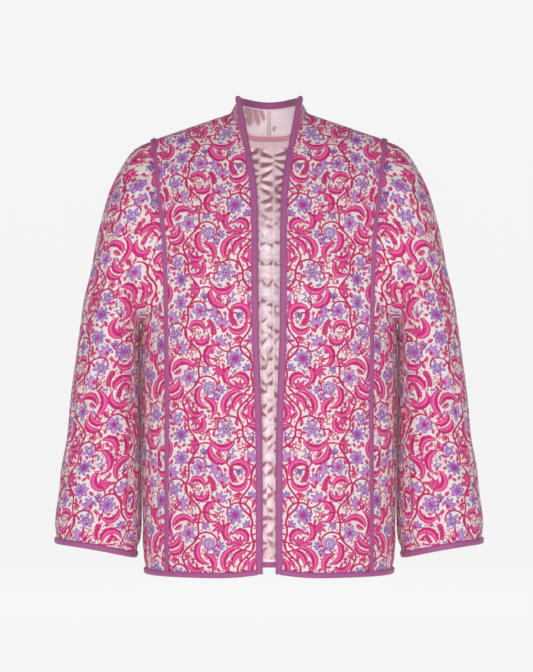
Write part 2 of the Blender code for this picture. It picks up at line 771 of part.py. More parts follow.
def main():
    for old in list(bpy.data.objects):
        bpy.data.objects.remove(old)
    jacket = bpy.data.collections.new("padded_jacket")
    bpy.context.scene.collection.children.link(jacket)
    root = bpy.data.objects.new("neck_seam", None)
    root.location = (0, 0, -NECK_HEIGHT)
    jacket.objects.link(root)
    printed, bound, satin = (cloth(name) for name in COLOURS)

    left = panels_at_left()
    back = left["back"]
    for word, sign in (("left", 1), ("right", -1)):
        names = ("front", "side", "sleeve", "collar", "collar_lining")
        front, side, sleeve, collar, lining = (mirrored(left[name], sign) for name in names)
        build_front(word, front, printed, root)
        build_side(word, side, printed, root)
        build_sleeve(word, sleeve, printed, root)
        build_collar(word, collar, printed, root)
        build_front_binding(word, front, bound, root)
        build_strip(word, front, back, side, sleeve, bound, root)
        build_cuff_binding(word, sleeve, bound, root)
        build_collar_lining(word, lining, satin, root)
    build_back(back, printed, satin, root)
    build_neck_tape(back, satin, root)
    build_hem_binding(left["front"], left["side"], back, bound, root)
    build_neck_binding(left["collar"], bound, root)


main()
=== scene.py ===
# Dressed look of a padded jacket: quilted printed cotton, bound edges and a satin lining.
# Metres, +Z up, the front faces -Y. Heights in the tables are measured up from the hem.
import math

import bpy
import numpy as np
from mathutils import Matrix, Vector


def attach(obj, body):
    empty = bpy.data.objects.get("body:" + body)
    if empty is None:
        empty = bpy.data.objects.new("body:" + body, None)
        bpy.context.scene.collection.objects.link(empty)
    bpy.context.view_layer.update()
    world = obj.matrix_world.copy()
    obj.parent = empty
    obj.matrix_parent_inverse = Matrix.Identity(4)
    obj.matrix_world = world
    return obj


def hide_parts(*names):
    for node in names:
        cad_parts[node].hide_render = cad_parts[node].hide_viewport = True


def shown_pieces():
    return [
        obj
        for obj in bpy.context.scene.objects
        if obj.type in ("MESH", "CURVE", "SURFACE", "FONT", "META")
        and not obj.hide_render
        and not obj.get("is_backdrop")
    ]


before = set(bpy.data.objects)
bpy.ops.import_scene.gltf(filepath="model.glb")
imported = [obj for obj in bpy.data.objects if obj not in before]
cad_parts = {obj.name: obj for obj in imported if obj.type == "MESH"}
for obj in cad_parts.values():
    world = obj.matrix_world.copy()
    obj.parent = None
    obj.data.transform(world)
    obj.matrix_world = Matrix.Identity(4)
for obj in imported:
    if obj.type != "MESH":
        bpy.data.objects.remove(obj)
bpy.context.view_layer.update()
print("stage: part loaded")

# Cut of the jacket, the same as the solids have
cut = {
    "neckHeight": 0.636,  # back neck seam above the hem
    "shoulderTip": (0.1686, 0.6286),  # x and height where the strip crosses the shoulder
    "shoulderSlope": 0.344,
    "neckStart": (0.0278, 0.6068),  # x and height where the collar begins in front
    "neckPointX": 0.0562,  # where the shoulder seam meets the collar
    "armholeHeight": 0.400,
    "underarmHeight": 0.362,
    "hemRise": 0.006,
    "hemRiseReach": 0.070,
    "planPower": 2.3,
    "seamGap": 0.0003,
    "wall": 0.0025,
    "frontLean": (0.400, 1.6),  # start height and power of the slope to the shoulder
    "backLean": (0.460, 2.0),
    "backNeckPower": 4.0,
    "neckSpan": 1 / 3,  # part of the back's half width that the neck takes
    # height, half width, depth in front, depth behind
    "bodySections": [
        (0.000, 0.1800, 0.130, 0.116),
        (0.150, 0.1835, 0.132, 0.113),
        (0.300, 0.1850, 0.131, 0.111),
        (0.400, 0.1855, 0.129, 0.112),
        (0.520, 0.1960, 0.128, 0.116),
        (0.700, 0.2120, 0.126, 0.118),
    ],
    # height, distance of the front edge from the centre line
    "frontEdge": [
        (0.000, 0.0110),
        (0.130, 0.0112),
        (0.230, 0.0125),
        (0.330, 0.0164),
        (0.420, 0.0175),
        (0.516, 0.0182),
        (0.555, 0.0198),
        (0.589, 0.0245),
        (0.6068, 0.0278),
    ],
    # height, distance of the strip from the centre line
    "stripLine": [
        (0.000, 0.1463),
        (0.300, 0.1463),
        (0.425, 0.1480),
        (0.473, 0.1498),
        (0.509, 0.1539),
        (0.546, 0.1590),
        (0.594, 0.1640),
        (0.6286, 0.1686),
        (0.700, 0.1700),
    ],
}


# Curves and grids


def through(table, at):
    # values of a table's columns at any key, on a smooth curve through its rows
    rows = np.array(table, float)
    keys, values = rows[:, 0], rows[:, 1:]
    at = np.clip(np.asarray(at, float), keys[0], keys[-1])
    slopes = np.gradient(values, keys, axis=0)
    left = np.clip(np.searchsorted(keys, at, "right") - 1, 0, len(keys) - 2)
    span = keys[left + 1] - keys[left]
    t = ((at - keys[left]) / span)[..., None]
    span = span[..., None]
    return (
        (2 * t**3 - 3 * t**2 + 1) * values[left]
        + (t**3 - 2 * t**2 + t) * span * slopes[left]
        + (3 * t**2 - 2 * t**3) * values[left + 1]
        + (t**3 - t**2) * span * slopes[left + 1]
    )


def lengthsAlong(points):
    steps = np.linalg.norm(np.diff(points, axis=0), axis=-1)
    return np.concatenate([np.zeros((1, *steps.shape[1:])), np.cumsum(steps, axis=0)])


def lengthsAcross(points):
    return np.swapaxes(lengthsAlong(np.swapaxes(points, 0, 1)), 0, 1)


def atShares(points, shares):
    # points of a line at these shares of its length
    run = lengthsAlong(points)
    wanted = np.asarray(shares) * run[-1]
    return np.stack([np.interp(wanted, run, points[:, i]) for i in range(3)], axis=-1)


def unit(vectors):
    return vectors / np.maximum(np.linalg.norm(vectors, axis=-1, keepdims=True), 1e-12)


def gridNormals(grid, outward, closed=False):
    if closed:
        wrapped = np.concatenate([grid[:, -1:], grid, grid[:, :1]], axis=1)
        across = np.gradient(wrapped, axis=1)[:, 1:-1]
    else:
        across = np.gradient(grid, axis=1)
    normal = unit(np.cross(across, np.gradient(grid, axis=0)))
    return normal * np.where((normal * outward).sum(axis=-1, keepdims=True) < 0, -1, 1)


def smooth(share):
    share = np.clip(share, 0, 1)
    return share * share * (3 - 2 * share)


halves = (("left", 1), ("right", -1))  # the wearer's left is +X


def mirrored(points, sign):
    return points * np.array([sign, 1.0, 1.0])


def standing(points):
    # from heights above the hem to the part's own frame
    return points - np.array([0, 0, cut["neckHeight"]])


# Surfaces of the panels


def section(height):
    values = through(cut["bodySections"], height)
    return values[..., 0], values[..., 1], values[..., 2]


def stripX(height):
    return through(cut["stripLine"], height)[..., 0]


def shoulderHeight(x):
    tipX, tipHeight = cut["shoulderTip"]
    return tipHeight + cut["shoulderSlope"] * (tipX - np.abs(x))


def superellipse(share, power):
    return (1 - np.clip(np.abs(share), 0, 1) ** power) ** (1 / power)


def bodyY(x, height, side):
    # depth of the cloth; side is -1 in front and 1 behind
    halfWidth, front, back = section(height)
    depth = front if side < 0 else back
    start, power = cut["frontLean"] if side < 0 else cut["backLean"]
    lean = np.clip((height - start) / (shoulderHeight(x) - start), 0, 1)
    plan = superellipse(x / halfWidth, cut["planPower"])
    return side * (depth * plan * superellipse(lean, power) + cut["seamGap"] / 2)


def hemHeight(x):
    near = np.clip(1 - (np.abs(x) - cut["frontEdge"][0][1]) / cut["hemRiseReach"], 0, 1)
    return cut["hemRise"] * near**2


neckPointHeight = float(shoulderHeight(cut["neckPointX"]))
neckShare = (cut["neckStart"][1] - cut["hemRise"]) / (neckPointHeight - cut["hemRise"])
armholeShare = cut["armholeHeight"] / cut["shoulderTip"][1]
settleRounds = 12  # in which widths and heights settle on each other


def frontEdgeX(height):
    startX, startHeight = cut["neckStart"]
    edge = through(cut["frontEdge"], height)[..., 0]
    up = np.clip((height - startHeight) / (neckPointHeight - startHeight), 0, 1)
    return edge + (cut["neckPointX"] - startX) * up


def frontSurface(shares, across):
    # rows up from the hem, columns from the front edge to the strip
    share, across = np.meshgrid(shares, across, indexing="ij")
    height = share * neckPointHeight
    for _ in range(settleRounds):
        outer = stripX(height) - cut["seamGap"]
        x = frontEdgeX(height) * (1 - across) + outer * across
        low = hemHeight(x)
        height = low + share * (shoulderHeight(x) - low)
    return np.stack([x, bodyY(x, height, -1), height], axis=-1)


def backNeckHeight(x):
    rise = (np.abs(x) / cut["neckPointX"]) ** cut["backNeckPower"]
    return cut["neckHeight"] + (neckPointHeight - cut["neckHeight"]) * rise


def backSurface(shares, across):
    # columns from -1 at one strip to 1 at the other
    share, across = np.meshgrid(shares, across, indexing="ij")
    height = share * cut["neckHeight"]
    for _ in range(settleRounds):
        x = across * (stripX(height) - cut["seamGap"])
        top = np.where(np.abs(across) < cut["neckSpan"], backNeckHeight(x), shoulderHeight(x))
        height = share * top
    return np.stack([x, bodyY(x, height, 1), height], axis=-1)


def sideLine(height, places):
    # the body's plan round the side at one height, from strip to strip
    halfWidth, front, back = (float(value) for value in section(height))
    power = cut["planPower"]
    reach = float(stripX(height)) + cut["seamGap"]
    turn = math.acos((reach / halfWidth) ** (power / 2))
    angle = np.linspace(-turn, turn, 361)
    x = halfWidth * np.cos(angle) ** (2 / power)
    depth = np.where(angle < 0, front, back)
    y = np.sign(angle) * depth * np.abs(np.sin(angle)) ** (2 / power)
    return atShares(np.stack([x, y, np.full_like(x, height)], axis=-1), places)


def sideTop(across):
    return cut["underarmHeight"] + (cut["armholeHeight"] - cut["underarmHeight"]) * (2 * across - 1) ** 2


def sideSurface(shares, across):
    levels = np.linspace(0, cut["armholeHeight"], 41)
    lines = np.array([sideLine(level, across) for level in levels])
    height = np.asarray(shares)[:, None] * (sideTop(across) - cut["seamGap"])[None, :]
    place = height / levels[-1] * (len(levels) - 1)
    below = np.clip(place.astype(int), 0, len(levels) - 2)
    t = (place - below)[..., None]
    column = np.arange(len(across))[None, :]
    return lines[below, column] * (1 - t) + lines[below + 1, column] * t


# Sleeve rings from the armhole down: outer x, outer height, inner x, inner height, half depth
sleeveRings = [
    (0.2000, 0.6080, 0.1880, 0.3585, 0.0740),
    (0.2275, 0.5580, 0.1893, 0.3520, 0.0760),
    (0.2425, 0.5070, 0.1897, 0.3430, 0.0780),
    (0.2545, 0.4530, 0.1897, 0.3300, 0.0800),
    (0.2650, 0.4020, 0.1895, 0.3100, 0.0810),
    (0.2738, 0.3510, 0.1893, 0.2850, 0.0815),
    (0.2825, 0.2900, 0.1890, 0.2450, 0.0810),
    (0.2900, 0.2315, 0.1885, 0.1980, 0.0790),
    (0.2964, 0.1760, 0.1880, 0.1500, 0.0765),
    (0.3038, 0.1260, 0.1873, 0.1030, 0.0735),
    (0.3089, 0.0880, 0.1880, 0.0665, 0.0710),
    (0.3103, 0.0431, 0.1940, 0.0226, 0.0690),
]
sleevePower = 2.1  # 2 would make each ring an ellipse
cuffArch = 0.0042  # how much higher the cuff is cut in front and behind
archStart = 9  # ring at which that begins


def armholeLoop():
    # from the shoulder down the front strip, under the arm and up the back
    shift = np.array([2 * cut["seamGap"], 0, 0])
    tall = np.linspace(armholeShare, 1, 140)
    downFront = frontSurface(tall, [1.0])[::-1, 0] + shift
    under = sideSurface([1.0], np.linspace(0, 1, 120))[0] + np.array([0, 0, 2 * cut["seamGap"]])
    upBack = backSurface(tall, [1.0])[:, 0] + shift
    return np.concatenate([downFront[:-1], under, upBack[1:]])


def sleeveRing(number):
    outerX, outerZ, innerX, innerZ, depth = sleeveRings[number]
    angle = np.linspace(0, 2 * math.pi, 361)
    reach = np.sign(np.cos(angle)) * np.abs(np.cos(angle)) ** (2 / sleevePower)
    side = -np.sign(np.sin(angle)) * np.abs(np.sin(angle)) ** (2 / sleevePower)
    x = (outerX + innerX) / 2 + (outerX - innerX) / 2 * reach
    z = (outerZ + innerZ) / 2 + (outerZ - innerZ) / 2 * reach
    down = np.clip((number - archStart) / (len(sleeveRings) - 1 - archStart), 0, 1)
    z += cuffArch * down**2 * side**2
    return np.stack([x, depth * side, z], axis=-1)


def sleeveSurface(rows, columns):
    # rows from the armhole to the cuff, columns round it from the top over the front
    shares = np.arange(columns) / columns
    rings = [atShares(armholeLoop(), shares)]
    rings += [atShares(sleeveRing(number), shares) for number in range(len(sleeveRings))]
    table = [(place, *ring.ravel()) for place, ring in enumerate(rings)]
    fine = through(table, np.linspace(0, len(sleeveRings), 240)).reshape(240, columns, 3)
    run = lengthsAlong(fine[:, :: columns // 8]).mean(axis=1)
    places = np.interp(np.linspace(0, run[-1], rows), run, np.linspace(0, len(sleeveRings), 240))
    return through(table, places).reshape(rows, columns, 3)


collarCut = {
    "topFront": 0.6875,
    "topBack": 0.6856,
    "sideRise": 0.0027,  # how much higher the top edge is at the sides
    "halfWidth": 0.0470,
    "centreY": -0.0234,
    "depthFront": 0.031,
    "depthBack": 0.0854,
    "planPower": 2.2,  # 2 would be an ellipse: more turns faster at the front corner
    "cornerAngle": math.radians(-16),
    "lift": 0.0010,
}


def collarTopLine():
    angle = np.linspace(collarCut["cornerAngle"], math.pi / 2, 361)
    depth = np.where(angle < 0, collarCut["depthFront"], collarCut["depthBack"])
    share = (angle - angle[0]) / (angle[-1] - angle[0])
    late = np.clip(2 * share - 1, 0, 1)
    share = share + 0.5 * late**2 * (1 - late)  # the edge levels out at the centre back
    height = collarCut["topFront"] + (collarCut["topBack"] - collarCut["topFront"]) * share**2
    height += collarCut["sideRise"] * np.sin(math.pi * share**0.8)
    power = 2 / collarCut["planPower"]
    x = collarCut["halfWidth"] * np.abs(np.cos(angle)) ** power
    y = collarCut["centreY"] + depth * np.sign(angle) * np.abs(np.sin(angle)) ** power
    return np.stack([x, y, height], axis=-1)


def collarEdges(columns):
    # lower and top edges at +X, from the front edge to the centre back
    inFront = frontSurface(np.linspace(neckShare, 1, 60), [0.0])[:, 0]
    behind = backSurface([1.0], np.linspace(cut["neckSpan"] - 1e-6, 0, 80))[0]
    low = np.concatenate([inFront, behind[1:]])
    low[:, 2] += collarCut["lift"]
    shares = np.linspace(0, 1, columns)
    low, top = atShares(low, shares), atShares(collarTopLine(), shares)
    low[-1, 0] = top[-1, 0] = cut["seamGap"] / 2
    return low, top


def collarSurface(up, columns):
    # up is the share of the collar's height, for each row or each point
    low, top = collarEdges(columns)
    points = low * (1 - up) + top * up
    outward = (points - np.array([0, collarCut["centreY"], 0])) * np.array([1, 1, 0])
    normals = gridNormals(points, outward)
    normals[:, -1, 0] = 0  # square to the centre-back seam
    return points, unit(normals)


def evenShares(surface, across, rows, low=0.0, high=1.0):
    # shares that are evenly spaced along the cloth
    shares = np.linspace(low, high, 400)
    run = lengthsAlong(surface(shares, np.asarray([across], float))[:, 0])
    return np.interp(np.linspace(0, run[-1], rows), run, shares)


planHeight = 0.300  # level at which distances round the body are taken
planX = np.linspace(0, 0.1785, 400)
planRun = lengthsAlong(np.stack([planX, bodyY(planX, np.full(planX.size, planHeight), -1)], axis=-1))


def acrossCloth(x):
    # distance round the body from the centre line
    return np.sign(x) * np.interp(np.abs(x), planX, planRun)


# Printed repeat: an ordinary scrolling floral, drawn from rules and a fixed seed

floral = {
    "repeat": (0.166, 0.222),  # width and height of one repeat
    "cell": 0.0005,  # spacing of the charted distances
    "reach": 0.009,  # distances are kept up to this far
    "seed": 41,
    "vines": 2,
    "vineSway": 0.011,
    "vineWander": 0.004,
    "vineHalfWidth": 0.0014,
    "twigHalfWidth": 0.0011,
    "scrollRadius": (0.0165, 0.0265),
    "scrollTurn": (1.05 * math.pi, 1.7 * math.pi),
    "toothPitch": 0.0027,
    "gap": 0.0005,  # ground left between motifs
    "flowerTwig": 0.024,  # longest twigs
    "sprayTwig": 0.022,
    "leafTwig": 0.018,
    "sprayRoom": 0.0028,  # kept clear to each side
    "frondRoom": 0.0040,
    "sprigRoom": 0.0026,
    "largestOnScroll": 0.0140,  # radius of the blossom inside a scroll
    # number of petals, then shares of the radius: half width of a petal, notch, heart
    "blossomKinds": [
        (6, 0.205, 0.00, 0.16),
        (5, 0.330, 0.05, 0.24),
        (8, 0.190, 0.00, 0.26),
        (7, 0.245, 0.03, 0.20),
        (5, 0.260, 0.03, 0.14),
    ],
    # what fills the ground, in order: kind, how many at most, size; leaves go on with half width,
    # range of bend, depth of teeth and layer, dots with their layer
    "fill": [
        ("blossoms", 3, 0.0120),
        ("leaves", 14, 0.0500, 0.0054, (2.4, 3.6), 0.0008),
        ("bells", 6, 0.0160),
        ("leaves", 14, 0.0380, 0.0048, (2.2, 3.4), 0.0007),
        ("fronds", 12, 0.0240),
        ("sprays", 10, 0.0185),
        ("sprigs", 14, 0.0165),
        ("leaves", 22, 0.0260, 0.0040, (1.2, 2.8), 0.0006),
        ("bells", 5, 0.0110),
        ("fronds", 10, 0.0150),
        ("sprays", 10, 0.0120),
        ("blossoms", 5, 0.0070),
        ("leaves", 44, 0.0150, 0.0030, (0.3, 1.2)),
        ("leaves", 12, 0.0080, 0.0020, (0.2, 0.4), 0.0, "petal"),
        ("leaves", 140, 0.0095, 0.0024, (0.3, 1.0)),
        ("leaves", 140, 0.0065, 0.0019, (0.3, 1.0)),
        ("dots", 16, 0.0014, "bud"),
        ("dots", 120, 0.0014, "heart"),
    ],
}


class FloralChart:
    # distances to each kind of printed shape, on one repeat that joins itself at its edges
    layers = ("stem", "leaf", "tone", "petal", "vein", "heart", "bud")

    def __init__(self, settings):
        self.settings = settings
        self.random = np.random.default_rng(settings["seed"])
        self.width, self.height = settings["repeat"]
        self.cell = settings["cell"]
        self.columns = round(self.width / self.cell)
        self.rows = round(self.height / self.cell)
        shape = (self.rows, self.columns)
        self.field = {name: np.full(shape, settings["reach"]) for name in self.layers}
        self.field["tone"][:] = 0
        self.taken = np.full(shape, settings["reach"])  # distance to what is printed already
        self.stemPoints = []

    def window(self, low, high):
        # cells round a box, with their plain coordinates; indices wrap at the repeat's edges
        low = np.floor((np.asarray(low) - self.settings["reach"]) / self.cell).astype(int)
        high = np.floor((np.asarray(high) + self.settings["reach"]) / self.cell).astype(int)
        across = np.arange(low[0], high[0] + 1)
        up = np.arange(low[1], high[1] + 1)
        cells = np.ix_(up % self.rows, across % self.columns)
        x, y = np.meshgrid((across + 0.5) * self.cell, (up + 0.5) * self.cell)
        return cells, x, y

    def press(self, layer, cells, distance, solid=True):
        self.field[layer][cells] = np.minimum(self.field[layer][cells], distance)
        if solid:
            self.taken[cells] = np.minimum(self.taken[cells], distance)

    def stroke(self, layer, points, halfWidths, teeth=0.0, solid=True):
        points = np.asarray(points, float)
        halfWidths = np.broadcast_to(halfWidths, (len(points),))
        cells, x, y = self.window(points.min(axis=0), points.max(axis=0))
        best = np.full(x.shape, 1.0)
        side = np.zeros(x.shape)
        run = np.zeros(x.shape)
        passed = 0.0
        for k in range(len(points) - 1):
            edge = points[k + 1] - points[k]
            size = max(float(edge @ edge), 1e-12)
            px, py = x - points[k][0], y - points[k][1]
            t = np.clip((px * edge[0] + py * edge[1]) / size, 0, 1)
            half = halfWidths[k] + t * (halfWidths[k + 1] - halfWidths[k])
            away = np.hypot(px - t * edge[0], py - t * edge[1]) - half
            closer = away < best
            best = np.where(closer, away, best)
            cross = (edge[0] * py - edge[1] * px) / math.sqrt(size)
            side = np.where(closer, np.clip(cross / np.maximum(half, 1e-5), -1, 1), side)
            run = np.where(closer, passed + t * math.sqrt(size), run)
            passed += math.sqrt(size)
        if teeth:
            comb = np.sin(2 * math.pi * run / self.settings["toothPitch"])
            best = best + teeth * (1 + comb) * (side > 0)
        if layer == "leaf":
            nearer = best < self.field["leaf"][cells]
            self.field["tone"][cells] = np.where(nearer, side, self.field["tone"][cells])
        self.press(layer, cells, best, solid)

    def stem(self, points, halfWidth):
        self.stroke("stem", points, halfWidth)
        self.stemPoints.append(np.asarray(points, float))

    def dot(self, layer, place, radius):
        self.stroke(layer, [place, np.add(place, 1e-5)], radius)

    def arc(self, base, heading, length, bend, steps):
        turn = heading + bend * (np.arange(steps) - 0.5) / (steps - 1)
        step = np.stack([np.cos(turn), np.sin(turn)], -1) * length / (steps - 1)
        step[0] = 0
        return np.cumsum(step, axis=0) + base

    def leaf(self, base, heading, length, halfWidth, bend, steps=7, teeth=0.0):
        # a tapered leaf along an arc
        t = np.linspace(0, 1, steps)
        path = self.arc(base, heading, length, bend, steps)
        self.stroke("leaf", path, halfWidth * np.sin(np.pi * t**0.8) ** 0.85 + 0.00025, teeth)

    def petal(self, base, heading, length, halfWidth, bend=0.0):
        path = self.arc(base, heading, length, bend, 7)
        t = np.linspace(0, 1, 7)
        self.stroke("petal", path, halfWidth * np.sin(np.pi * (0.10 + 0.76 * t)))
        self.stroke("vein", path[2:6], 0, solid=False)

    def flower(self, centre, radius, petals, narrow, turn, notch, heart):
        cells, x, y = self.window(np.subtract(centre, radius), np.add(centre, radius))
        dx, dy = x - centre[0], y - centre[1]
        r, angle = np.hypot(dx, dy), np.arctan2(dy, dx) - turn
        share = 2 * math.pi / petals
        fold = (angle + share / 2) % share - share / 2
        px, py = r * np.cos(fold), r * np.sin(fold)
        middle, half, wide = 0.60 * radius, 0.42 * radius, narrow * radius
        distance = (np.hypot((px - middle) / half, py / wide) - 1) * wide
        distance += notch * radius * np.cos(2.6 * math.pi * py / wide) * (px > middle)
        self.press("petal", cells, distance)
        between = r * np.sin(share / 2 - np.abs(fold))
        rib = np.where((distance < 0) & (px < 0.8 * radius), np.abs(py), self.settings["reach"])
        self.press("vein", cells, np.minimum(rib, between), solid=False)
        self.press("heart", cells, r - heart * radius, solid=False)

    def cluster(self, centre, radius, turn):
        # round florets, one in the middle of a ring
        ring = turn + np.arange(7) * 2 * math.pi / 7
        places = np.stack([np.cos(ring), np.sin(ring)], -1) * 0.64 * radius
        for place in np.concatenate([places, [[0, 0]]]) + centre:
            self.dot("petal", place, 0.27 * radius)
            self.stroke("vein", [place, place + 1e-5], 0.0002, solid=False)

    def bell(self, base, heading, size):
        # a flower from the side: petals that spread from a cup
        for part, length in ((-0.62, 0.84), (0.62, 0.84), (-0.22, 1.0), (0.22, 1.0)):
            self.petal(base, heading + part, length * size, 0.17 * size, 0.5 * part)
        for part in (-0.5, 0.0, 0.5):
            way = np.array([math.cos(heading + part), math.sin(heading + part)])
            self.stroke("heart", [base, base + way * 0.36 * size], [0.11 * size, 0.03 * size])

    def spray(self, base, heading, size, layer):
        # thin strands with berries on either side
        for part in (-0.34, 0.0, 0.34):
            path = self.arc(base, heading + part, size * (1 - 0.5 * abs(part)), 0.9 * part, 7)
            self.stroke("stem", path, 0.0007)
            for k in range(2, 7):
                way = path[k] - path[k - 1]
                across = np.array([-way[1], way[0]]) / np.hypot(*way) * 0.0016 * (-1) ** k
                self.dot(layer, path[k] + across, 0.0012)

    def frond(self, base, heading, size, bend):
        # paired leaflets along a bent stem
        path = self.arc(base, heading, size, bend, 8)
        self.stem(path, 0.0009)
        for k in range(1, 8):
            way = path[k] - path[k - 1]
            ahead = math.atan2(way[1], way[0])
            length = size * (0.34 - 0.022 * k)
            for side in (-1, 1):
                self.leaf(path[k], ahead + side * 0.85, length, 0.0014, -0.35 * side, 5)

    def sprig(self, base, heading, size):
        for part in range(-2, 3):
            length = size * (1 - 0.12 * abs(part))
            self.leaf(base, heading + 0.50 * part, length, 0.0022, 0.22 * part, 6)

    def room(self, points):
        column = np.floor(points[..., 0] / self.cell).astype(int) % self.columns
        row = np.floor(points[..., 1] / self.cell).astype(int) % self.rows
        return self.taken[row, column]

    def fit(self, shape, halfWidths, tries=1400):
        # a place and heading where a shape has just enough room
        shape = np.asarray(shape, float)
        base = self.random.random((tries, 2)) * (self.width, self.height)
        heading = self.random.uniform(0, 2 * math.pi, tries)
        cosine, sine = np.cos(heading)[:, None], np.sin(heading)[:, None]
        x = cosine * shape[:, 0] - sine * shape[:, 1]
        y = sine * shape[:, 0] + cosine * shape[:, 1]
        points = np.stack([x, y], -1) + base[:, None]
        spare = (self.room(points) - halfWidths - self.settings["gap"]).min(axis=1)
        fits = np.flatnonzero(spare >= 0)
        if not len(fits):
            return None
        k = int(fits[spare[fits].argmin()])
        return base[k], float(heading[k])

    def twigTo(self, place, longest):
        # a thin stem from the nearest stem that is already drawn
        places = np.concatenate(self.stemPoints)
        size = np.array([self.width, self.height])
        gap = (places - place + size / 2) % size - size / 2
        far = np.hypot(gap[:, 0], gap[:, 1])
        k = int(far.argmin())
        if far[k] > longest:
            return
        start = np.add(place, gap[k])
        middle = (start + place) / 2 + np.array([-gap[k][1], gap[k][0]]) * 0.22
        t = np.linspace(0, 1, 6)[:, None]
        path = start * (1 - t) ** 2 + 2 * middle * t * (1 - t) + place * t**2
        self.stroke("stem", path, self.settings["twigHalfWidth"])
        self.stemPoints.append(path[1:])

    def vines(self):
        settings = self.settings
        for vine in range(settings["vines"]):
            middle = (vine + 0.5) * self.width / settings["vines"]
            drop = vine * self.height * 0.11
            for part in range(4):  # short lengths, so that none laps the repeat
                y = np.linspace(part, part + 1, 16) * self.height / 4
                x = middle + self.vineAt(y, drop, vine)
                self.stem(np.stack([x, y], -1), settings["vineHalfWidth"])
            for k in range(4):
                at = drop + (k + self.random.uniform(-0.12, 0.24)) * self.height / 4
                x = middle + self.vineAt(at, drop, vine)
                self.scroll((x, at), 1 - 2 * (k % 2), vine * 4 + k)

    def vineAt(self, y, drop, vine):
        turn = 2 * math.pi * (y - drop) / self.height
        sway = self.settings["vineSway"] * np.sin(2 * turn)
        return sway + self.settings["vineWander"] * (np.sin(turn + 2 * vine) + np.cos(5 * turn + vine))

    def scroll(self, start, side, number):
        settings = self.settings
        radius = self.random.uniform(*settings["scrollRadius"])
        turn = self.random.uniform(*settings["scrollTurn"])
        t = np.linspace(0, 1, 26)
        angle = math.pi - turn * t
        reach = radius * (1 - 0.16 * turn * t)
        centre = (start[0] + side * radius, start[1] + self.random.uniform(-0.004, 0.008))
        path = np.stack([side * reach * np.cos(angle), reach * np.sin(angle)], -1) + centre
        path[0] = start
        self.stem(path, settings["vineHalfWidth"] * (1 - 0.35 * t))
        self.blossom(centre, min(0.62 * radius, settings["largestOnScroll"]), number, 0.9 * number)

    def blossom(self, centre, radius, kind, turn):
        kinds = self.settings["blossomKinds"]
        pick = kind % (len(kinds) + 1)
        if pick == len(kinds):
            self.cluster(centre, 0.8 * radius, turn)
            return
        petals, narrow, notch, heart = kinds[pick]
        self.flower(centre, radius, petals, narrow, turn, notch, heart)

    def scatter(self, count, shapes, halfWidths, twig, put):
        # motifs wherever their shape has room, each on a twig; the shapes take turns
        for number in range(count):
            found = self.fit(shapes[number % len(shapes)], halfWidths)
            if found is None:
                return
            put(number, *found)
            self.twigTo(found[0], self.settings[twig])

    def blossoms(self, count, radius):
        ring = np.linspace(0, 2 * math.pi, 9)[:-1]
        shape = np.stack([np.cos(ring), np.sin(ring)], -1) * 0.6 * radius

        def put(number, place, turn):
            self.blossom(place, radius, number + 1, turn)

        self.scatter(count, [shape], 0.4 * radius, "flowerTwig", put)

    def bells(self, count, size):
        shape = [(0.2 * size, 0), (0.6 * size, 0.3 * size), (0.6 * size, -0.3 * size), (0.8 * size, 0)]

        def put(_, place, heading):
            self.bell(place, heading, size)

        self.scatter(count, [shape], 0.26 * size, "flowerTwig", put)

    def sprays(self, count, size):
        shape = [(0.3 * size, 0), (0.7 * size, 0.2 * size), (0.7 * size, -0.2 * size), (0.9 * size, 0)]

        def put(number, place, heading):
            self.spray(place, heading, size, "bud" if number % 3 == 1 else "heart")

        self.scatter(count, [shape], self.settings["sprayRoom"], "sprayTwig", put)

    def fronds(self, count, size):
        bends = (1.2, -1.2)
        shapes = [self.arc((0, 0), 0, size, bend, 8)[1:] for bend in bends]

        def put(number, place, heading):
            self.frond(place, heading, size, bends[number % len(bends)])

        self.scatter(count, shapes, self.settings["frondRoom"], "sprayTwig", put)

    def sprigs(self, count, size):
        shape = [(0.25 * size, 0), (0.55 * size, 0.4 * size), (0.55 * size, -0.4 * size), (0.8 * size, 0)]

        def put(_, place, heading):
            self.sprig(place, heading, size)

        self.scatter(count, [shape], self.settings["sprigRoom"], "sprayTwig", put)

    def leaves(self, count, length, halfWidth, bends, teeth=0.0, layer="leaf"):
        t = np.linspace(0, 1, 9)
        half = halfWidth * np.sin(np.pi * t**0.8) ** 0.85
        for number in range(count):
            bend = self.random.uniform(*bends) * (-1) ** number
            found = self.fit(self.arc((0, 0), 0, length, bend, 9), half)
            if found is None:
                return
            if layer == "leaf":
                self.leaf(*found, length, halfWidth, bend, 9 if length > 0.02 else 5, teeth)
                self.twigTo(found[0], min(self.settings["leafTwig"], 0.7 * length))
            else:
                self.petal(*found, length, halfWidth)

    def dots(self, count, radius, layer):
        for _ in range(count):
            found = self.fit([(0, 0)], radius)
            if found is None:
                return
            self.dot(layer, found[0], radius)

    def draw(self):
        self.vines()
        for kind, *sizes in self.settings["fill"]:
            getattr(self, kind)(*sizes)
        return self

    def read(self, u, v):
        # every layer at places on the cloth, in millimetres; the tone has no unit
        x, y = u / self.cell - 0.5, v / self.cell - 0.5
        column, row = np.floor(x).astype(int), np.floor(y).astype(int)
        across, up = x - column, y - row
        left, right = column % self.columns, (column + 1) % self.columns
        below, above = row % self.rows, (row + 1) % self.rows
        values = {}
        for name, field in self.field.items():
            low = field[below, left] * (1 - across) + field[below, right] * across
            high = field[above, left] * (1 - across) + field[above, right] * across
            values[name] = (low * (1 - up) + high * up) * (1 if name == "tone" else 1000)
        return values


chart = FloralChart(floral).draw()
print("stage: print charted")


# Shader wiring


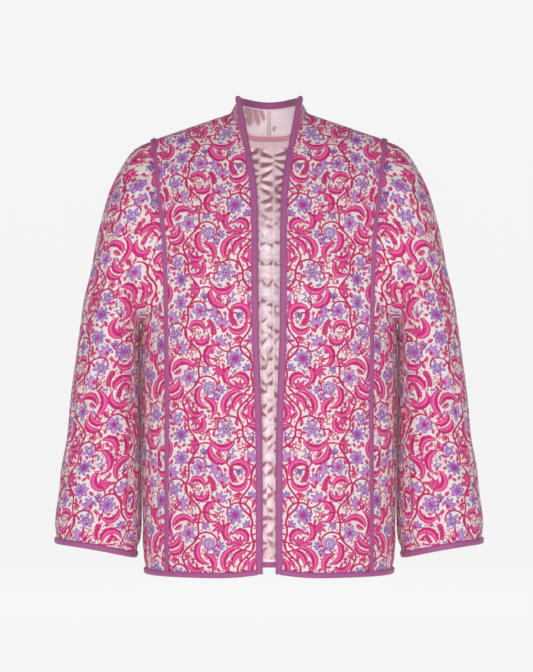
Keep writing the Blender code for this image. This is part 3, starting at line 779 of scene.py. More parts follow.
class Flow:
    # a node's output that can be reckoned with and fed to other nodes
    def __init__(self, tree, socket=None):
        self.tree = tree
        self.socket = socket

    def node(self, kind, settings, sockets, output=0):
        made = self.tree.nodes.new(kind)
        for name, value in settings.items():
            setattr(made, name, value)
        for key, value in sockets.items():
            if isinstance(value, Flow):
                self.tree.links.new(value.socket, made.inputs[key])
            else:
                made.inputs[key].default_value = value
        return Flow(self.tree, made.outputs[output])

    def sum(self, operation, first, second):
        return self.node("ShaderNodeMath", {"operation": operation}, {0: first, 1: second})

    def __add__(self, other):
        return self.sum("ADD", self, other)

    def __radd__(self, other):
        return self.sum("ADD", other, self)

    def __sub__(self, other):
        return self.sum("SUBTRACT", self, other)

    def __rsub__(self, other):
        return self.sum("SUBTRACT", other, self)

    def __mul__(self, other):
        return self.sum("MULTIPLY", self, other)

    def __rmul__(self, other):
        return self.sum("MULTIPLY", other, self)

    def __truediv__(self, other):
        return self.sum("DIVIDE", self, other)

    def __rtruediv__(self, other):
        return self.sum("DIVIDE", other, self)

    def clamped(self):
        return self.node("ShaderNodeClamp", {}, {0: self})

    def inked(self, soft=0.35):
        # 1 inside a charted shape and 0 outside it, from its distance in millimetres
        return (0.5 - self / (2 * soft)).clamped()

    def mixed(self, first, second):
        # from the first colour to the second
        return self.node("ShaderNodeMix", {"data_type": "RGBA"}, {0: self, 6: first, 7: second}, 2)

    def attribute(self, name, output):
        return self.node("ShaderNodeAttribute", {"attribute_name": name}, {}, output)

    def parts(self):
        split = self.node("ShaderNodeSeparateXYZ", {}, {0: self}).socket.node
        return [Flow(self.tree, socket) for socket in split.outputs]


def paint(red, green, blue):
    # display colour, 0 to 255, as the linear values that shaders use
    share = np.array([red, green, blue]) / 255
    linear = np.where(share <= 0.04045, share / 12.92, ((share + 0.055) / 1.055) ** 2.4)
    return (*linear.tolist(), 1.0)


def newMaterial(name, **constants):
    material = bpy.data.materials.new(name)
    material.use_nodes = True
    shader = material.node_tree.nodes["Principled BSDF"]
    for socket, value in constants.items():
        shader.inputs[socket.replace("_", " ")].default_value = value
    return material, shader, Flow(material.node_tree)


def connect(flow, shader, socket):
    flow.tree.links.new(flow.socket, shader.inputs[socket])


def weave(flow, scale, stretch):
    # fine threads that run two ways, from object coordinates
    place = flow.node("ShaderNodeTexCoord", {}, {}, "Object")
    lie = flow.node("ShaderNodeMapping", {}, {"Vector": place, "Scale": (1, 1, stretch)})
    cross = flow.node("ShaderNodeMapping", {}, {"Vector": place, "Scale": (stretch, stretch, 1)})
    sockets = {"Scale": scale, "Detail": 2.0}
    one = flow.node("ShaderNodeTexNoise", {}, {"Vector": lie, **sockets})
    two = flow.node("ShaderNodeTexNoise", {}, {"Vector": cross, **sockets})
    return (one + two) * 0.5


def bump(flow, height, strength, distance):
    sockets = {"Strength": strength, "Distance": distance, "Height": height}
    return flow.node("ShaderNodeBump", {}, sockets)


cottonLook = {
    "groundLight": paint(239, 226, 223),
    "groundDark": paint(205, 189, 189),
    "stem": paint(184, 8, 96),
    "leafLight": paint(212, 54, 136),
    "leafDark": paint(184, 8, 100),
    "leafStreak": paint(226, 108, 168),
    "petal": paint(198, 132, 190),
    "petalEdge": paint(98, 76, 160),
    "heart": paint(196, 10, 102),
    "bud": paint(146, 104, 186),
    "budEdge": paint(88, 74, 168),
    "spread": 0.15,  # how far the pink inks run, in millimetres
    "worn": 0.06,  # share of the ground that shows through the inks on the raised threads
}


def makePrintedCotton():
    look = cottonLook
    material, shader, flow = newMaterial("printedCotton", Roughness=0.82, Sheen_Weight=0.08)
    stem, leaf, tone = flow.attribute("printFoliage", "Vector").parts()
    petal, vein, heart = flow.attribute("printFlower", "Vector").parts()
    bud = flow.attribute("printBud", "Fac")
    threads = weave(flow, 900.0, 5.0)
    ground = ((threads - 0.36) * 4.0).clamped().mixed(look["groundDark"], look["groundLight"])
    side = (tone * 4.0 + 0.3).clamped()
    leafColour = side.mixed(look["leafLight"], look["leafDark"])
    streak = 1.0 - (tone + 0.30) * (tone + 0.30) * 14.0
    leafColour = (streak.clamped() * 0.75).mixed(leafColour, look["leafStreak"])
    leafColour = (1.0 - (leaf + 0.70).inked()).mixed(leafColour, look["leafDark"])
    colour = (leaf - look["spread"]).inked().mixed(ground, leafColour)
    colour = (stem - look["spread"]).inked().mixed(colour, look["stem"])
    petalColour = (1.0 - (petal + 0.85).inked()).mixed(look["petal"], look["petalEdge"])
    petalColour = ((vein - 0.45).inked() * 0.7).mixed(petalColour, look["petalEdge"])
    colour = petal.inked().mixed(colour, petalColour)
    colour = heart.inked().mixed(colour, look["heart"])
    budColour = (1.0 - (bud + 0.7).inked()).mixed(look["bud"], look["budEdge"])
    colour = bud.inked().mixed(colour, budColour)
    colour = (((threads - 0.5) * 6.0).clamped() * look["worn"]).mixed(colour, ground)
    connect(colour, shader, "Base Color")
    connect(bump(flow, threads, 0.25, 0.0004), shader, "Normal")
    return material


bindingLook = {"light": paint(178, 96, 150), "dark": paint(138, 60, 116)}


def makeBindingCotton():
    material, shader, flow = newMaterial("bindingCotton", Roughness=0.72, Sheen_Weight=0.15)
    threads = weave(flow, 700.0, 4.0)
    colour = ((threads - 0.34) * 3.2).clamped().mixed(bindingLook["dark"], bindingLook["light"])
    connect(colour, shader, "Base Color")
    connect(bump(flow, threads, 0.3, 0.0005), shader, "Normal")
    return material


satinLook = {
    "plain": paint(246, 223, 229),
    # painted shade for the shaded sides of folds and creases
    "deep": paint(172, 106, 122),
    # painted highlight for the lit sides of folds and over the collar lining
    "shine": paint(255, 246, 249),
}


def makeSatin():
    material, shader, flow = newMaterial(
        "satin", Roughness=0.36, Sheen_Weight=0.25, Coat_Weight=0.10, Coat_Roughness=0.30
    )
    fold = flow.attribute("fold", "Fac")  # painted shade up to 1 on a fold's shaded side, painted highlight down to -1 on its lit side
    threads = weave(flow, 1100.0, 9.0)
    thread = (threads - 0.5) * 0.2
    # painted shade where the fold attribute is positive, then painted highlight where it is negative
    colour = (fold + thread).clamped().mixed(satinLook["plain"], satinLook["deep"])
    colour = (thread - fold).clamped().mixed(colour, satinLook["shine"])
    connect(colour, shader, "Base Color")
    connect(bump(flow, threads, 0.12, 0.0003), shader, "Normal")
    return material


def makeThread(name, colour):
    material, shader = newMaterial(name, Roughness=0.6)[:2]
    shader.inputs["Base Color"].default_value = colour
    return material


tapeLook = {"light": paint(240, 184, 196), "dark": paint(214, 140, 160)}


def makeTape():
    material, shader, flow = newMaterial("neckTape", Roughness=0.45, Sheen_Weight=0.2)
    threads = weave(flow, 800.0, 6.0)
    colour = ((threads - 0.35) * 3.0).clamped().mixed(tapeLook["dark"], tapeLook["light"])
    connect(colour, shader, "Base Color")
    connect(bump(flow, threads, 0.25, 0.0004), shader, "Normal")
    return material


printedCotton = makePrintedCotton()
bindingCotton = makeBindingCotton()
satin = makeSatin()
tapeCloth = makeTape()
paleThread = makeThread("paleThread", paint(232, 206, 220))
mauveThread = makeThread("mauveThread", paint(150, 70, 132))
roseThread = makeThread("roseThread", paint(206, 148, 168))
print("stage: materials made")


# Cloth relief


quiltLook = {
    "puckerEvery": 0.0082,  # spacing of the puckers along a stitch line
    "puckerDrift": 0.0071,  # how fast that spacing wanders
    "crownPower": 0.72,  # lower is plumper
    "deepestCrease": 0.0012,  # how far a crease may sink into the padding
}


def quilted(place, along, channels, rise, pucker):
    # padding between stitch lines: place runs from 0 to 1 across the panel
    phase = place * channels
    line = np.round(phase)
    away = 2 * np.abs(phase - line)  # 0 on a line and 1 midway between two
    crown = np.sin(np.clip(away, 0, 1) * math.pi / 2) ** quiltLook["crownPower"]
    drift = 0.35 * np.sin(along / quiltLook["puckerDrift"] + 1.7 * line)
    beat = along / quiltLook["puckerEvery"] + 0.31 * line**2 + drift
    ripple = np.sin(2 * math.pi * beat) * away * np.exp(-3.4 * away) * 6.5
    return rise * crown + pucker * ripple


def slowWaves(u, v, height, seed):
    # uneven padding: a few long waves in fixed random directions
    source = np.random.default_rng(seed)
    total = np.zeros_like(u)
    for _ in range(7):
        heading, length = source.uniform(0, math.pi), source.uniform(0.035, 0.11)
        phase = source.uniform(0, 2 * math.pi)
        total += np.sin((u * math.cos(heading) + v * math.sin(heading)) * 2 * math.pi / length + phase)
    return height * total / 2.6


def creased(u, v, creases):
    # soft troughs with low ridges beside them: from u, v to u, v, then half width and depth
    past, ramp = 0.15, 0.4  # shares of its length that a crease runs on, and fades over
    total = np.zeros_like(u)
    for u0, v0, u1, v1, width, depth in creases:
        du, dv = u1 - u0, v1 - v0
        size = du * du + dv * dv
        t = ((u - u0) * du + (v - v0) * dv) / size
        t = np.clip(t, -past, 1 + past)
        away = np.hypot(u - u0 - t * du, v - v0 - t * dv) / width
        ends = smooth((t + past) / ramp) * smooth((1 + past - t) / ramp)
        total -= depth * ends * np.exp(-away * away) * (1 - 0.6 * away * away)
    return total


def softRelief(u, v, look):
    return slowWaves(u, v, look["waves"], look["seed"]) + creased(u, v, look["creases"])


def pressedFlat(relief, points, touching):
    # where sleeve and side lie against each other: reach from the side's middle, low and high, level
    reach, low, high, level = touching
    share = smooth((reach - np.abs(points[..., 1])) / (0.5 * reach))
    share = share * smooth((points[..., 2] - low) / 0.03) * smooth((high - points[..., 2]) / 0.02)
    return relief * (1 - share) + level * share


# Meshes


def newPiece(name, points, faces, materials, indices=None):
    mesh = bpy.data.meshes.new(name)
    mesh.from_pydata(standing(points).tolist(), [], faces)
    for material in materials:
        mesh.materials.append(material)
    if indices is not None:
        mesh.polygons.foreach_set("material_index", np.asarray(indices, np.int32))
    mesh.shade_smooth()
    mesh.set_sharp_from_angle(angle=math.radians(62))
    mesh.update()
    piece = bpy.data.objects.new(name, mesh)
    bpy.context.scene.collection.objects.link(piece)
    return piece


def setVectors(piece, name, columns):
    attribute = piece.data.attributes.new(name, "FLOAT_VECTOR", "POINT")
    attribute.data.foreach_set("vector", np.stack(columns, axis=-1).astype(np.float32).ravel())


def setNumbers(piece, name, values):
    attribute = piece.data.attributes.new(name, "FLOAT", "POINT")
    attribute.data.foreach_set("value", np.asarray(values, np.float32).ravel())


def keptLines(count, step, closed):
    kept = list(range(0, count, step))
    if not closed and kept[-1] != count - 1:
        kept.append(count - 1)
    return kept


def shell(name, outer, inner, normals, materials, closed=False, step=4):
    # a thin closed wall: the fine grid that shows, and a coarser one behind it
    rows, columns = outer.shape[:2]
    keptRows, keptColumns = keptLines(rows, step, False), keptLines(columns, step, closed)
    behind = inner[np.ix_(keptRows, keptColumns)]
    first = rows * columns
    spans = columns if closed else columns - 1
    start, column = np.meshgrid(np.arange(rows - 1) * columns, np.arange(spans), indexing="ij")
    after = (column + 1) % columns
    corners = [start + column, start + after, start + columns + after, start + columns + column]
    faces = np.stack(corners, -1).reshape(-1, 4).tolist()
    shown = len(faces)
    wide = len(keptColumns)
    pairs = [(k, (k + 1) % wide) for k in range(wide if closed else wide - 1)]
    for row in range(len(keptRows) - 1):
        low, high = first + row * wide, first + (row + 1) * wide
        faces += [[low + a, high + a, high + b, low + b] for a, b in pairs]
    hidden = len(faces)
    for row, level, ahead in ((0, 0, False), (rows - 1, len(keptRows) - 1, True)):
        for a, b in pairs:
            end = keptColumns[b] if b > a else columns
            edge = [row * columns + k % columns for k in range(keptColumns[a], end + 1)]
            back = [first + level * wide + a, first + level * wide + b]
            faces.append(edge + back[::-1] if ahead else edge[::-1] + back)
    if not closed:
        for column, level, ahead in ((0, 0, True), (columns - 1, wide - 1, False)):
            for k in range(len(keptRows) - 1):
                edge = [row * columns + column for row in range(keptRows[k], keptRows[k + 1] + 1)]
                back = [first + k * wide + level, first + (k + 1) * wide + level]
                faces.append(edge + back[::-1] if ahead else edge[::-1] + back)
    across, up = np.diff(outer[:-1], axis=1), np.diff(outer[:, :-1], axis=0)
    if (np.cross(across, up) * normals[:-1, :-1]).sum() < 0:
        faces = [face[::-1] for face in faces]
    indices = np.zeros(len(faces), np.int32)
    if len(materials) > 1:
        indices[shown:hidden] = 1
    points = np.concatenate([outer.reshape(-1, 3), behind.reshape(-1, 3)])
    return newPiece(name, points, faces, materials, indices)


def printOn(piece, u, v):
    values = chart.read(u.ravel(), v.ravel())
    spare = len(piece.data.vertices) - u.size  # points behind, which carry no print
    far = 1000 * floral["reach"]
    full = {name: np.concatenate([row, np.full(spare, far)]) for name, row in values.items()}
    setVectors(piece, "printFoliage", [full["stem"], full["leaf"], full["tone"]])
    setVectors(piece, "printFlower", [full["petal"], full["vein"], full["heart"]])
    setNumbers(piece, "printBud", full["bud"])


def swept(name, rings, material, closed=False):
    # a closed solid through equal rings of points along a path
    rings = np.asarray(rings)
    length, count = rings.shape[:2]
    spans = length if closed else length - 1
    ring, spot = np.meshgrid(np.arange(spans), np.arange(count), indexing="ij")
    here, ahead, after = ring * count, (ring + 1) % length * count, (spot + 1) % count
    corners = [here + spot, here + after, ahead + after, ahead + spot]
    faces = np.stack(corners, -1).reshape(-1, 4).tolist()
    if not closed:
        faces.append(list(range(count))[::-1])
        faces.append([(length - 1) * count + k for k in range(count)])
    middle = rings.mean(axis=1, keepdims=True)
    side = np.diff(rings, axis=1)[:-1]
    forward = np.diff(rings[:, :-1], axis=0)
    if (np.cross(side, forward) * (rings - middle)[:-1, :-1]).sum() < 0:
        faces = [face[::-1] for face in faces]
    return newPiece(name, rings.reshape(-1, 3), faces, [material])


def squareTo(along, vectors):
    along = unit(along)
    return unit(vectors - along * (vectors * along).sum(axis=-1, keepdims=True))


def evened(vectors, reach):
    # a running mean along a line, with its ends held
    padded = np.concatenate([vectors[:1].repeat(reach, 0), vectors, vectors[-1:].repeat(reach, 0)])
    total = np.cumsum(np.concatenate([np.zeros((1, 3)), padded]), axis=0)
    span = 2 * reach + 1
    return unit((total[span:] - total[:-span]) / span)


threadLook = {
    "halfLength": 0.0014,
    "halfThickness": 0.00026,
    "lift": 0.00015,  # above the cloth
    "quiltEvery": 0.0050,  # spacing of the stitches
    "trimEvery": 0.0038,
    "collarEvery": 0.0030,
    "tapeEvery": 0.0032,
}
# Stitches wait here until Geometry Nodes sews each thread's share in one go
sewing = {"pale": [], "mauve": [], "rose": []}


def stitchAlong(thread, line, out, spacing=threadLook["quiltEvery"]):
    run = lengthsAlong(line)
    count = int(run[-1] / spacing)
    if count < 2:
        return
    shares = (np.arange(count) + 0.5) / count
    places = atShares(line, shares)
    along = unit(atShares(np.gradient(line, axis=0), shares))
    normal = squareTo(along, atShares(out, shares))
    sewing[thread].append((places + normal * threadLook["lift"], along, normal))


def bothSides(thread, line, out, sides=(1, -1), **settings):
    for sign in sides:
        stitchAlong(thread, mirrored(line, sign), mirrored(out, sign), **settings)


def printedShell(name, grids, u, v, look, closed=False):
    piece = shell(name, *grids, [printedCotton, satin], closed=closed)
    printOn(piece, u + look["printAt"][0], v + look["printAt"][1])
    return piece


def printedPair(name, grids, u, v, look, closed=False):
    # a panel and its mirror image, with the same print on both
    made = []
    for word, sign in halves:
        turned = [mirrored(grid, sign) for grid in grids]
        made.append(printedShell(f"{name}_{word}", turned, u, v, look, closed))
    return made


# Body panels and collar

frontLook = {
    "spacing": 0.0014,
    "size": (0.166, 0.700),  # grid's cloth width and length
    "channels": 7,
    "border": 0.075,  # flat border by the front edge, as a share of the width
    "rise": 0.0020,
    "pucker": 0.00040,
    "waves": 0.0008,
    "seed": 11,
    # relief fades out at the edges: how far it stays flat, then how far until it is full
    "hemFade": (0.008, 0.016),
    "topFade": (0.002, 0.016),
    "frontFade": (0.008, 0.016),
    "stripFade": (0.003, 0.014),
    "printAt": (0.012, 0.030),
    # from u, v to u, v on the cloth, then half width and depth
    "creases": [
        (0.060, 0.080, 0.075, 0.330, 0.014, 0.0022),
        (0.125, 0.060, 0.118, 0.300, 0.012, 0.0018),
        (0.158, 0.440, 0.105, 0.400, 0.010, 0.0024),
        (0.160, 0.500, 0.110, 0.470, 0.011, 0.0018),
        (0.150, 0.380, 0.100, 0.320, 0.012, 0.0014),
        (0.070, 0.600, 0.110, 0.560, 0.012, 0.0012),
    ],
}
backLook = {
    "spacing": 0.0028,
    "size": (0.340, 0.700),
    "channels": 15,
    "rise": 0.0020,
    "pucker": 0.00040,
    "waves": 0.0008,
    "seed": 12,
    "hemFade": (0.008, 0.016),
    "topFade": (0.002, 0.016),
    "stripFade": (0.003, 0.014),
    "halfCloth": 0.155,  # from the centre to a strip
    "printAt": (0.030, 0.045),
    "creases": [
        (-0.090, 0.060, -0.080, 0.340, 0.014, 0.0020),
        (0.050, 0.040, 0.062, 0.280, 0.014, 0.0018),
        (0.110, 0.080, 0.104, 0.300, 0.012, 0.0016),
        (0.165, 0.450, 0.110, 0.400, 0.011, 0.0022),
        (-0.165, 0.450, -0.110, 0.400, 0.011, 0.0022),
    ],
}
sideLook = {
    "spacing": 0.0026,
    "size": (0.215, 0.385),
    "channels": 9,
    "rise": 0.0018,
    "pucker": 0.00035,
    "waves": 0.0006,
    "seed": 13,
    "hemFade": (0.008, 0.016),
    "topFade": (0.001, 0.012),
    "stripFade": (0.003, 0.014),
    "printAt": (0.050, 0.010),
    "touching": (0.050, 0.060, 0.372, 0.0020),  # against the sleeve
    "creases": [(0.060, 0.050, 0.080, 0.250, 0.014, 0.0014), (0.150, 0.040, 0.140, 0.240, 0.014, 0.0014)],
}
collarLook = {
    "spacing": 0.0014,
    "size": (0.165, 0.072),
    "rise": 0.0009,
    "waves": 0.0003,
    "seed": 14,
    "seamFade": (0.001, 0.010),
    "topFade": (0.008, 0.010),
    "frontFade": (0.008, 0.012),
    "printAt": (0.020, 0.070),
}


def edgeFade(distance, flat, ramp):
    return smooth((distance - flat) / ramp)


def buildFronts():
    look = frontLook
    columns, rows = (round(size / look["spacing"]) for size in look["size"])
    shares, across = evenShares(frontSurface, 0.5, rows), np.linspace(0, 1, columns)
    points = frontSurface(shares, across)
    normals = gridNormals(points, np.array([0, -1.0, 0.5]))
    u, v = acrossCloth(points[..., 0]), lengthsAlong(points)
    width = np.ptp(u, axis=1)[:, None]
    place = np.clip((across - look["border"]) / (1 - look["border"]), 0, 1)[None, :]
    fade = edgeFade(v, *look["hemFade"]) * edgeFade(v[-1] - v, *look["topFade"])
    soft = fade * edgeFade(across * width, *look["frontFade"])
    soft = soft * edgeFade((1 - across) * width, *look["stripFade"])
    relief = fade * quilted(place, v, look["channels"], look["rise"], look["pucker"])
    relief += soft * softRelief(u, v, look)
    outer = points + normals * np.maximum(relief, -quiltLook["deepestCrease"])[..., None]
    inner = points - normals * cut["wall"]
    made = printedPair("frontPanel", (outer, inner, normals), u, v, look)
    for line in range(look["channels"]):
        column = round((look["border"] + (1 - look["border"]) * line / look["channels"]) * (columns - 1))
        bothSides("pale", outer[8:-8, column], normals[8:-8, column])
    return made, points, normals


def buildBack():
    look = backLook
    columns, rows = (round(size / look["spacing"]) for size in look["size"])
    columns += 1 - columns % 2  # one column runs down the centre
    shares, across = evenShares(backSurface, 0.5, rows), np.linspace(-1, 1, columns)
    points = backSurface(shares, across)
    normals = gridNormals(points, np.array([0, 1.0, 0.5]))
    u, v = acrossCloth(points[..., 0]), lengthsAlong(points)
    place = (across[None, :] + 1) / 2
    fade = edgeFade(v, *look["hemFade"]) * edgeFade(v[-1] - v, *look["topFade"])
    soft = fade * edgeFade((1 - np.abs(across)) * look["halfCloth"], *look["stripFade"])
    relief = fade * quilted(place, v, look["channels"], look["rise"], look["pucker"])
    relief += soft * softRelief(u, v, look)
    outer = points + normals * np.maximum(relief, -quiltLook["deepestCrease"])[..., None]
    inner = points - normals * cut["wall"]
    piece = printedShell("backPanel", (outer, inner, normals), u, v, look)
    for line in range(1, look["channels"]):
        column = round(line / look["channels"] * (columns - 1))
        stitchAlong("pale", outer[5:-5, column], normals[5:-5, column])
    return piece, points, normals


def buildSides():
    look = sideLook
    columns, rows = (round(size / look["spacing"]) for size in look["size"])
    shares, across = np.linspace(0, 1, rows), np.linspace(0, 1, columns)
    points = sideSurface(shares, across)
    normals = gridNormals(points, np.array([1.0, 0, 0]))
    u = lengthsAcross(points)
    v = lengthsAlong(points)
    fade = edgeFade(v, *look["hemFade"]) * edgeFade(v[-1] - v, *look["topFade"])
    soft = fade * edgeFade(u, *look["stripFade"]) * edgeFade(u[:, -1:] - u, *look["stripFade"])
    relief = fade * quilted(across[None, :], v, look["channels"], look["rise"], look["pucker"])
    relief += soft * softRelief(u, v, look)
    relief = pressedFlat(relief, points, look["touching"])
    outer = points + normals * relief[..., None]
    inner = points - normals * cut["wall"]
    made = printedPair("sidePanel", (outer, inner, normals), u, v, look)
    for line in range(1, look["channels"]):
        column = round(line / look["channels"] * (columns - 1))
        bothSides("pale", outer[5:-3, column], normals[5:-3, column])
    return made, points, normals


def buildCollars():
    look = collarLook
    columns, rows = (round(size / look["spacing"]) for size in look["size"])
    points, normals = collarSurface(np.linspace(0, 1, rows)[:, None, None], columns)
    u = lengthsAcross(points)
    v = lengthsAlong(points)
    fade = edgeFade(v, *look["seamFade"]) * edgeFade(v[-1] - v, *look["topFade"])
    fade = fade * edgeFade(u, *look["frontFade"])
    relief = fade * (look["rise"] + slowWaves(u, v, look["waves"], look["seed"]))
    outer = points + normals * relief[..., None]
    inner = points - normals * cut["wall"]
    made = printedPair("collarPanel", (outer, inner, normals), u, v, look)
    return made, points, normals


fronts, frontPoints, frontNormals = buildFronts()
backPanel, backPoints, backNormals = buildBack()
sides, sidePoints, sideNormals = buildSides()
collars, collarPoints, collarNormals = buildCollars()
print("stage: body panels and collar made")

# Sleeves

sleeveLook = {
    "rows": 282,
    "columns": 228,
    "channels": 19,
    "rise": 0.0020,
    "pucker": 0.00042,
    "waves": 0.0010,
    "seed": 15,
    "topFade": (0.003, 0.014),
    "cuffFade": (0.009, 0.016),
    "hang": 0.09,  # how far the sleeve swings out as it hangs
    "roundCloth": 0.055,  # half width of its outer bend
    "touching": (0.050, 0.060, 0.340, 0.0019),  # against the side
    "innerReach": 0.055,  # half depth of the sleeve's inner face
    "slices": (0.02, 0.63, 62),  # lowest and highest level slice, and how many
    "sliceReach": 0.008,
    "leastDepth": 0.012,
    "usualDepth": 0.075,
    "printAt": (0.060, 0.020),
    # u runs round the sleeve from its outer line, plus to the front; v runs up from the cuff
    "creases": [
        (0.190, 0.300, 0.080, 0.265, 0.011, 0.0040),
        (0.190, 0.265, 0.060, 0.210, 0.012, 0.0034),
        (0.190, 0.215, 0.080, 0.160, 0.012, 0.0026),
        (0.130, 0.420, 0.070, 0.300, 0.013, 0.0024),
        (0.020, 0.380, 0.012, 0.190, 0.016, 0.0020),
        (0.060, 0.110, 0.110, 0.030, 0.013, 0.0022),
        (-0.190, 0.290, -0.060, 0.250, 0.011, 0.0036),
        (-0.190, 0.240, -0.050, 0.180, 0.012, 0.0030),
        (-0.060, 0.110, -0.110, 0.030, 0.013, 0.0020),
        (-0.030, 0.420, -0.070, 0.280, 0.014, 0.0018),
    ],
}


def roundSleeve(points):
    # place on the cloth: u goes round from the outer line along level slices, v goes up that line
    look = sleeveLook
    levels = np.linspace(*look["slices"])
    x, y, height = (points[..., k].ravel() for k in range(3))
    near = [np.abs(height - level) < look["sliceReach"] for level in levels]
    outer = np.array([x[rows].max() for rows in near])
    depths = [np.array([(sign * y[rows]).max() for rows in near]) for sign in (-1, 1)]
    climb = np.concatenate([[0], np.cumsum(np.hypot(np.diff(outer), np.diff(levels)))])
    x, y, height = points[..., 0], points[..., 1], points[..., 2]
    outerX = np.interp(height, levels, outer)
    v = np.interp(height + look["hang"] * (x - outerX), levels, climb)
    depth = np.where(y < 0, np.interp(height, levels, depths[0]), np.interp(height, levels, depths[1]))
    depth = np.maximum(depth, look["leastDepth"])
    half, usual = look["roundCloth"], look["usualDepth"]
    middle = outerX - half
    turn = np.arctan2(np.abs(y) / depth, np.maximum((x - middle) / half, 0))
    quarter = np.linspace(0, math.pi / 2, 60)
    bow = np.hypot(half * np.sin(quarter), usual * np.cos(quarter))
    table = np.concatenate([[0], np.cumsum((bow[1:] + bow[:-1]) / 2 * np.diff(quarter))])
    u = np.interp(turn, quarter, table) * (0.55 + 0.45 * depth / usual)
    u += 1.05 * np.maximum(middle - x, 0)
    u += smooth((middle - x) / 0.03) * np.maximum(look["innerReach"] - np.abs(y), 0)
    return np.where(y < 0, u, -u), v


def buildSleeves():
    look = sleeveLook
    points = sleeveSurface(look["rows"], look["columns"])
    normals = gridNormals(points, points - points.mean(axis=1, keepdims=True), closed=True)
    u, v = roundSleeve(points)
    run = lengthsAlong(points)
    place = (np.arange(look["columns"]) / look["columns"])[None, :]
    fade = edgeFade(run, *look["topFade"]) * edgeFade(run[-1] - run, *look["cuffFade"])
    relief = fade * quilted(place, run, look["channels"], look["rise"], look["pucker"])
    relief += fade * softRelief(u, v, look)
    inward = points[..., 0] < points[..., 0].mean(axis=1, keepdims=True)
    relief = np.where(inward, pressedFlat(relief, points, look["touching"]), relief)
    outer = points + normals * relief[..., None]
    inner = points + normals * (np.minimum(relief, 0) - cut["wall"])[..., None]  # clear of the creases
    made = printedPair("sleevePanel", (outer, inner, normals), u, v, look, closed=True)
    for line in range(look["channels"]):
        column = round(line / look["channels"] * look["columns"]) % look["columns"]
        bothSides("pale", outer[5:-8, column], normals[5:-8, column])
    return made, points, normals


sleeves, sleevePoints, sleeveNormals = buildSleeves()
print("stage: sleeves made")

# Bindings and strips

trimLook = {
    "cloth": 0.0009,
    "gap": 0.0009,
    "gapInside": 0.0013,
    "frontWidth": 0.0078,  # front edges and collar
    "hemWidth": 0.0062,
    "cuffWidth": 0.0070,
    "joinRows": 14,  # over which the front bindings turn to meet the collar
    "cornerShare": 0.3,  # of the width that is left at the collar's front corner
    "plump": 0.0005,  # how far a binding domes between its fold and its stitches
    "lip": 0.0004,  # how far its sewn edge rounds down
    "foldReach": 0.0011,  # from the cloth's edge out to the fold
    "ripple": 0.00022,
    "rippleEvery": 0.0093,
    "rippleDrift": 0.031,
    "stitchAt": 0.86,  # share of the width
    "stitchLift": 0.0003,
    "stripHalfWidth": 0.0038,
    "stripUnder": 0.0012,
    "stripEdge": 0.0018,
    "stripShoulder": 0.0025,
    "stripTop": 0.0028,
    "stripRows": 620,
}


def bindingRings(edge, out, into, width):
    look = trimLook
    gap, plump = look["gap"], look["plump"]
    top, low = gap + look["cloth"], -(cut["wall"] + look["gapInside"])
    reach = gap + look["foldReach"]
    middle, half = (top + low - look["cloth"]) / 2, (top - low + look["cloth"]) / 2
    fold = np.linspace(math.radians(70), math.radians(-80), 7)
    profile = [(width, top - look["lip"]), (0.95 * width, top), (0.75 * width, top + plump)]
    profile += [(0.45 * width, top + 1.3 * plump), (0.16 * width, top + plump)]
    profile += [(-reach * math.cos(a), middle + (half + plump / 3) * math.sin(a)) for a in fold]
    profile += [(0.5 * width, low - look["cloth"]), (width, low - look["cloth"]), (width, low)]
    profile += [(-0.5 * gap, low), (-0.5 * gap, gap), (width, gap)]
    along, up = (np.array(column) for column in zip(*profile))
    run = lengthsAlong(edge)[:, None]
    drift = 1.2 * np.sin(run / look["rippleDrift"])
    wave = np.sin(2 * math.pi * run / look["rippleEvery"] + drift)
    up = up[None, :] + look["ripple"] * wave * ((along > 0.3 * width) & (up > 0))[None, :]
    return edge[:, None] + into[:, None] * along[None, :, None] + out[:, None] * up[..., None]


def sewBinding(edge, out, into, width, sides=(1, -1)):
    look = trimLook
    lift = look["gap"] + look["cloth"] + look["stitchLift"]
    line = edge + into * (look["stitchAt"] * width) + out * lift
    bothSides("mauve", line, out, sides=sides, spacing=threadLook["trimEvery"])


def boundPair(name, edge, out, into, width, closed=False):
    made = []
    for word, sign in halves:
        rings = bindingRings(*(mirrored(line, sign) for line in (edge, out, into)), width)
        made.append(swept(f"{name}_{word}", rings, bindingCotton, closed=closed))
    return made


def bothHalves(half):
    # a line from the left front to the centre back, carried on to the right front
    other = (half * np.array([-1.0, 1.0, 1.0]))[::-1]
    return np.concatenate([half[:-1], [[0.0, *half[-1][1:]]], other[1:]])


def intoCollar():
    # across the binding at the collar's front edge and at its top edge
    fromFront = squareTo(np.gradient(collarPoints[:, 0], axis=0), collarPoints[:, 4] - collarPoints[:, 0])
    fromTop = squareTo(np.gradient(collarPoints[-1], axis=0), collarPoints[0] - collarPoints[-1])
    return fromFront, fromTop


def buildFrontBindings():
    look = trimLook
    last = int(np.searchsorted(frontPoints[:, 0, 2], collarPoints[0, 0, 2] - collarCut["lift"]))
    edge = np.concatenate([frontPoints[:last, 0], collarPoints[:1, 0]])
    along = unit(np.gradient(edge, axis=0))
    into = squareTo(along[:last], frontPoints[:last, 4] - edge[:last])
    into = np.concatenate([into, intoCollar()[0][:1]])
    out = np.concatenate([frontNormals[:last, 0], collarNormals[:1, 0]])
    turn = np.linspace(0, 1, look["joinRows"])[:, None]  # the last rows turn to meet the collar
    for lines in (into, out):
        lines[-len(turn) :] = unit(lines[-len(turn) :] * (1 - turn) + lines[-1] * turn)
    edge[0] -= along[0] * (2 * cut["seamGap"] + look["cloth"])
    sewBinding(edge, out, into, look["frontWidth"])
    return boundPair("frontBinding", edge, out, into, look["frontWidth"])


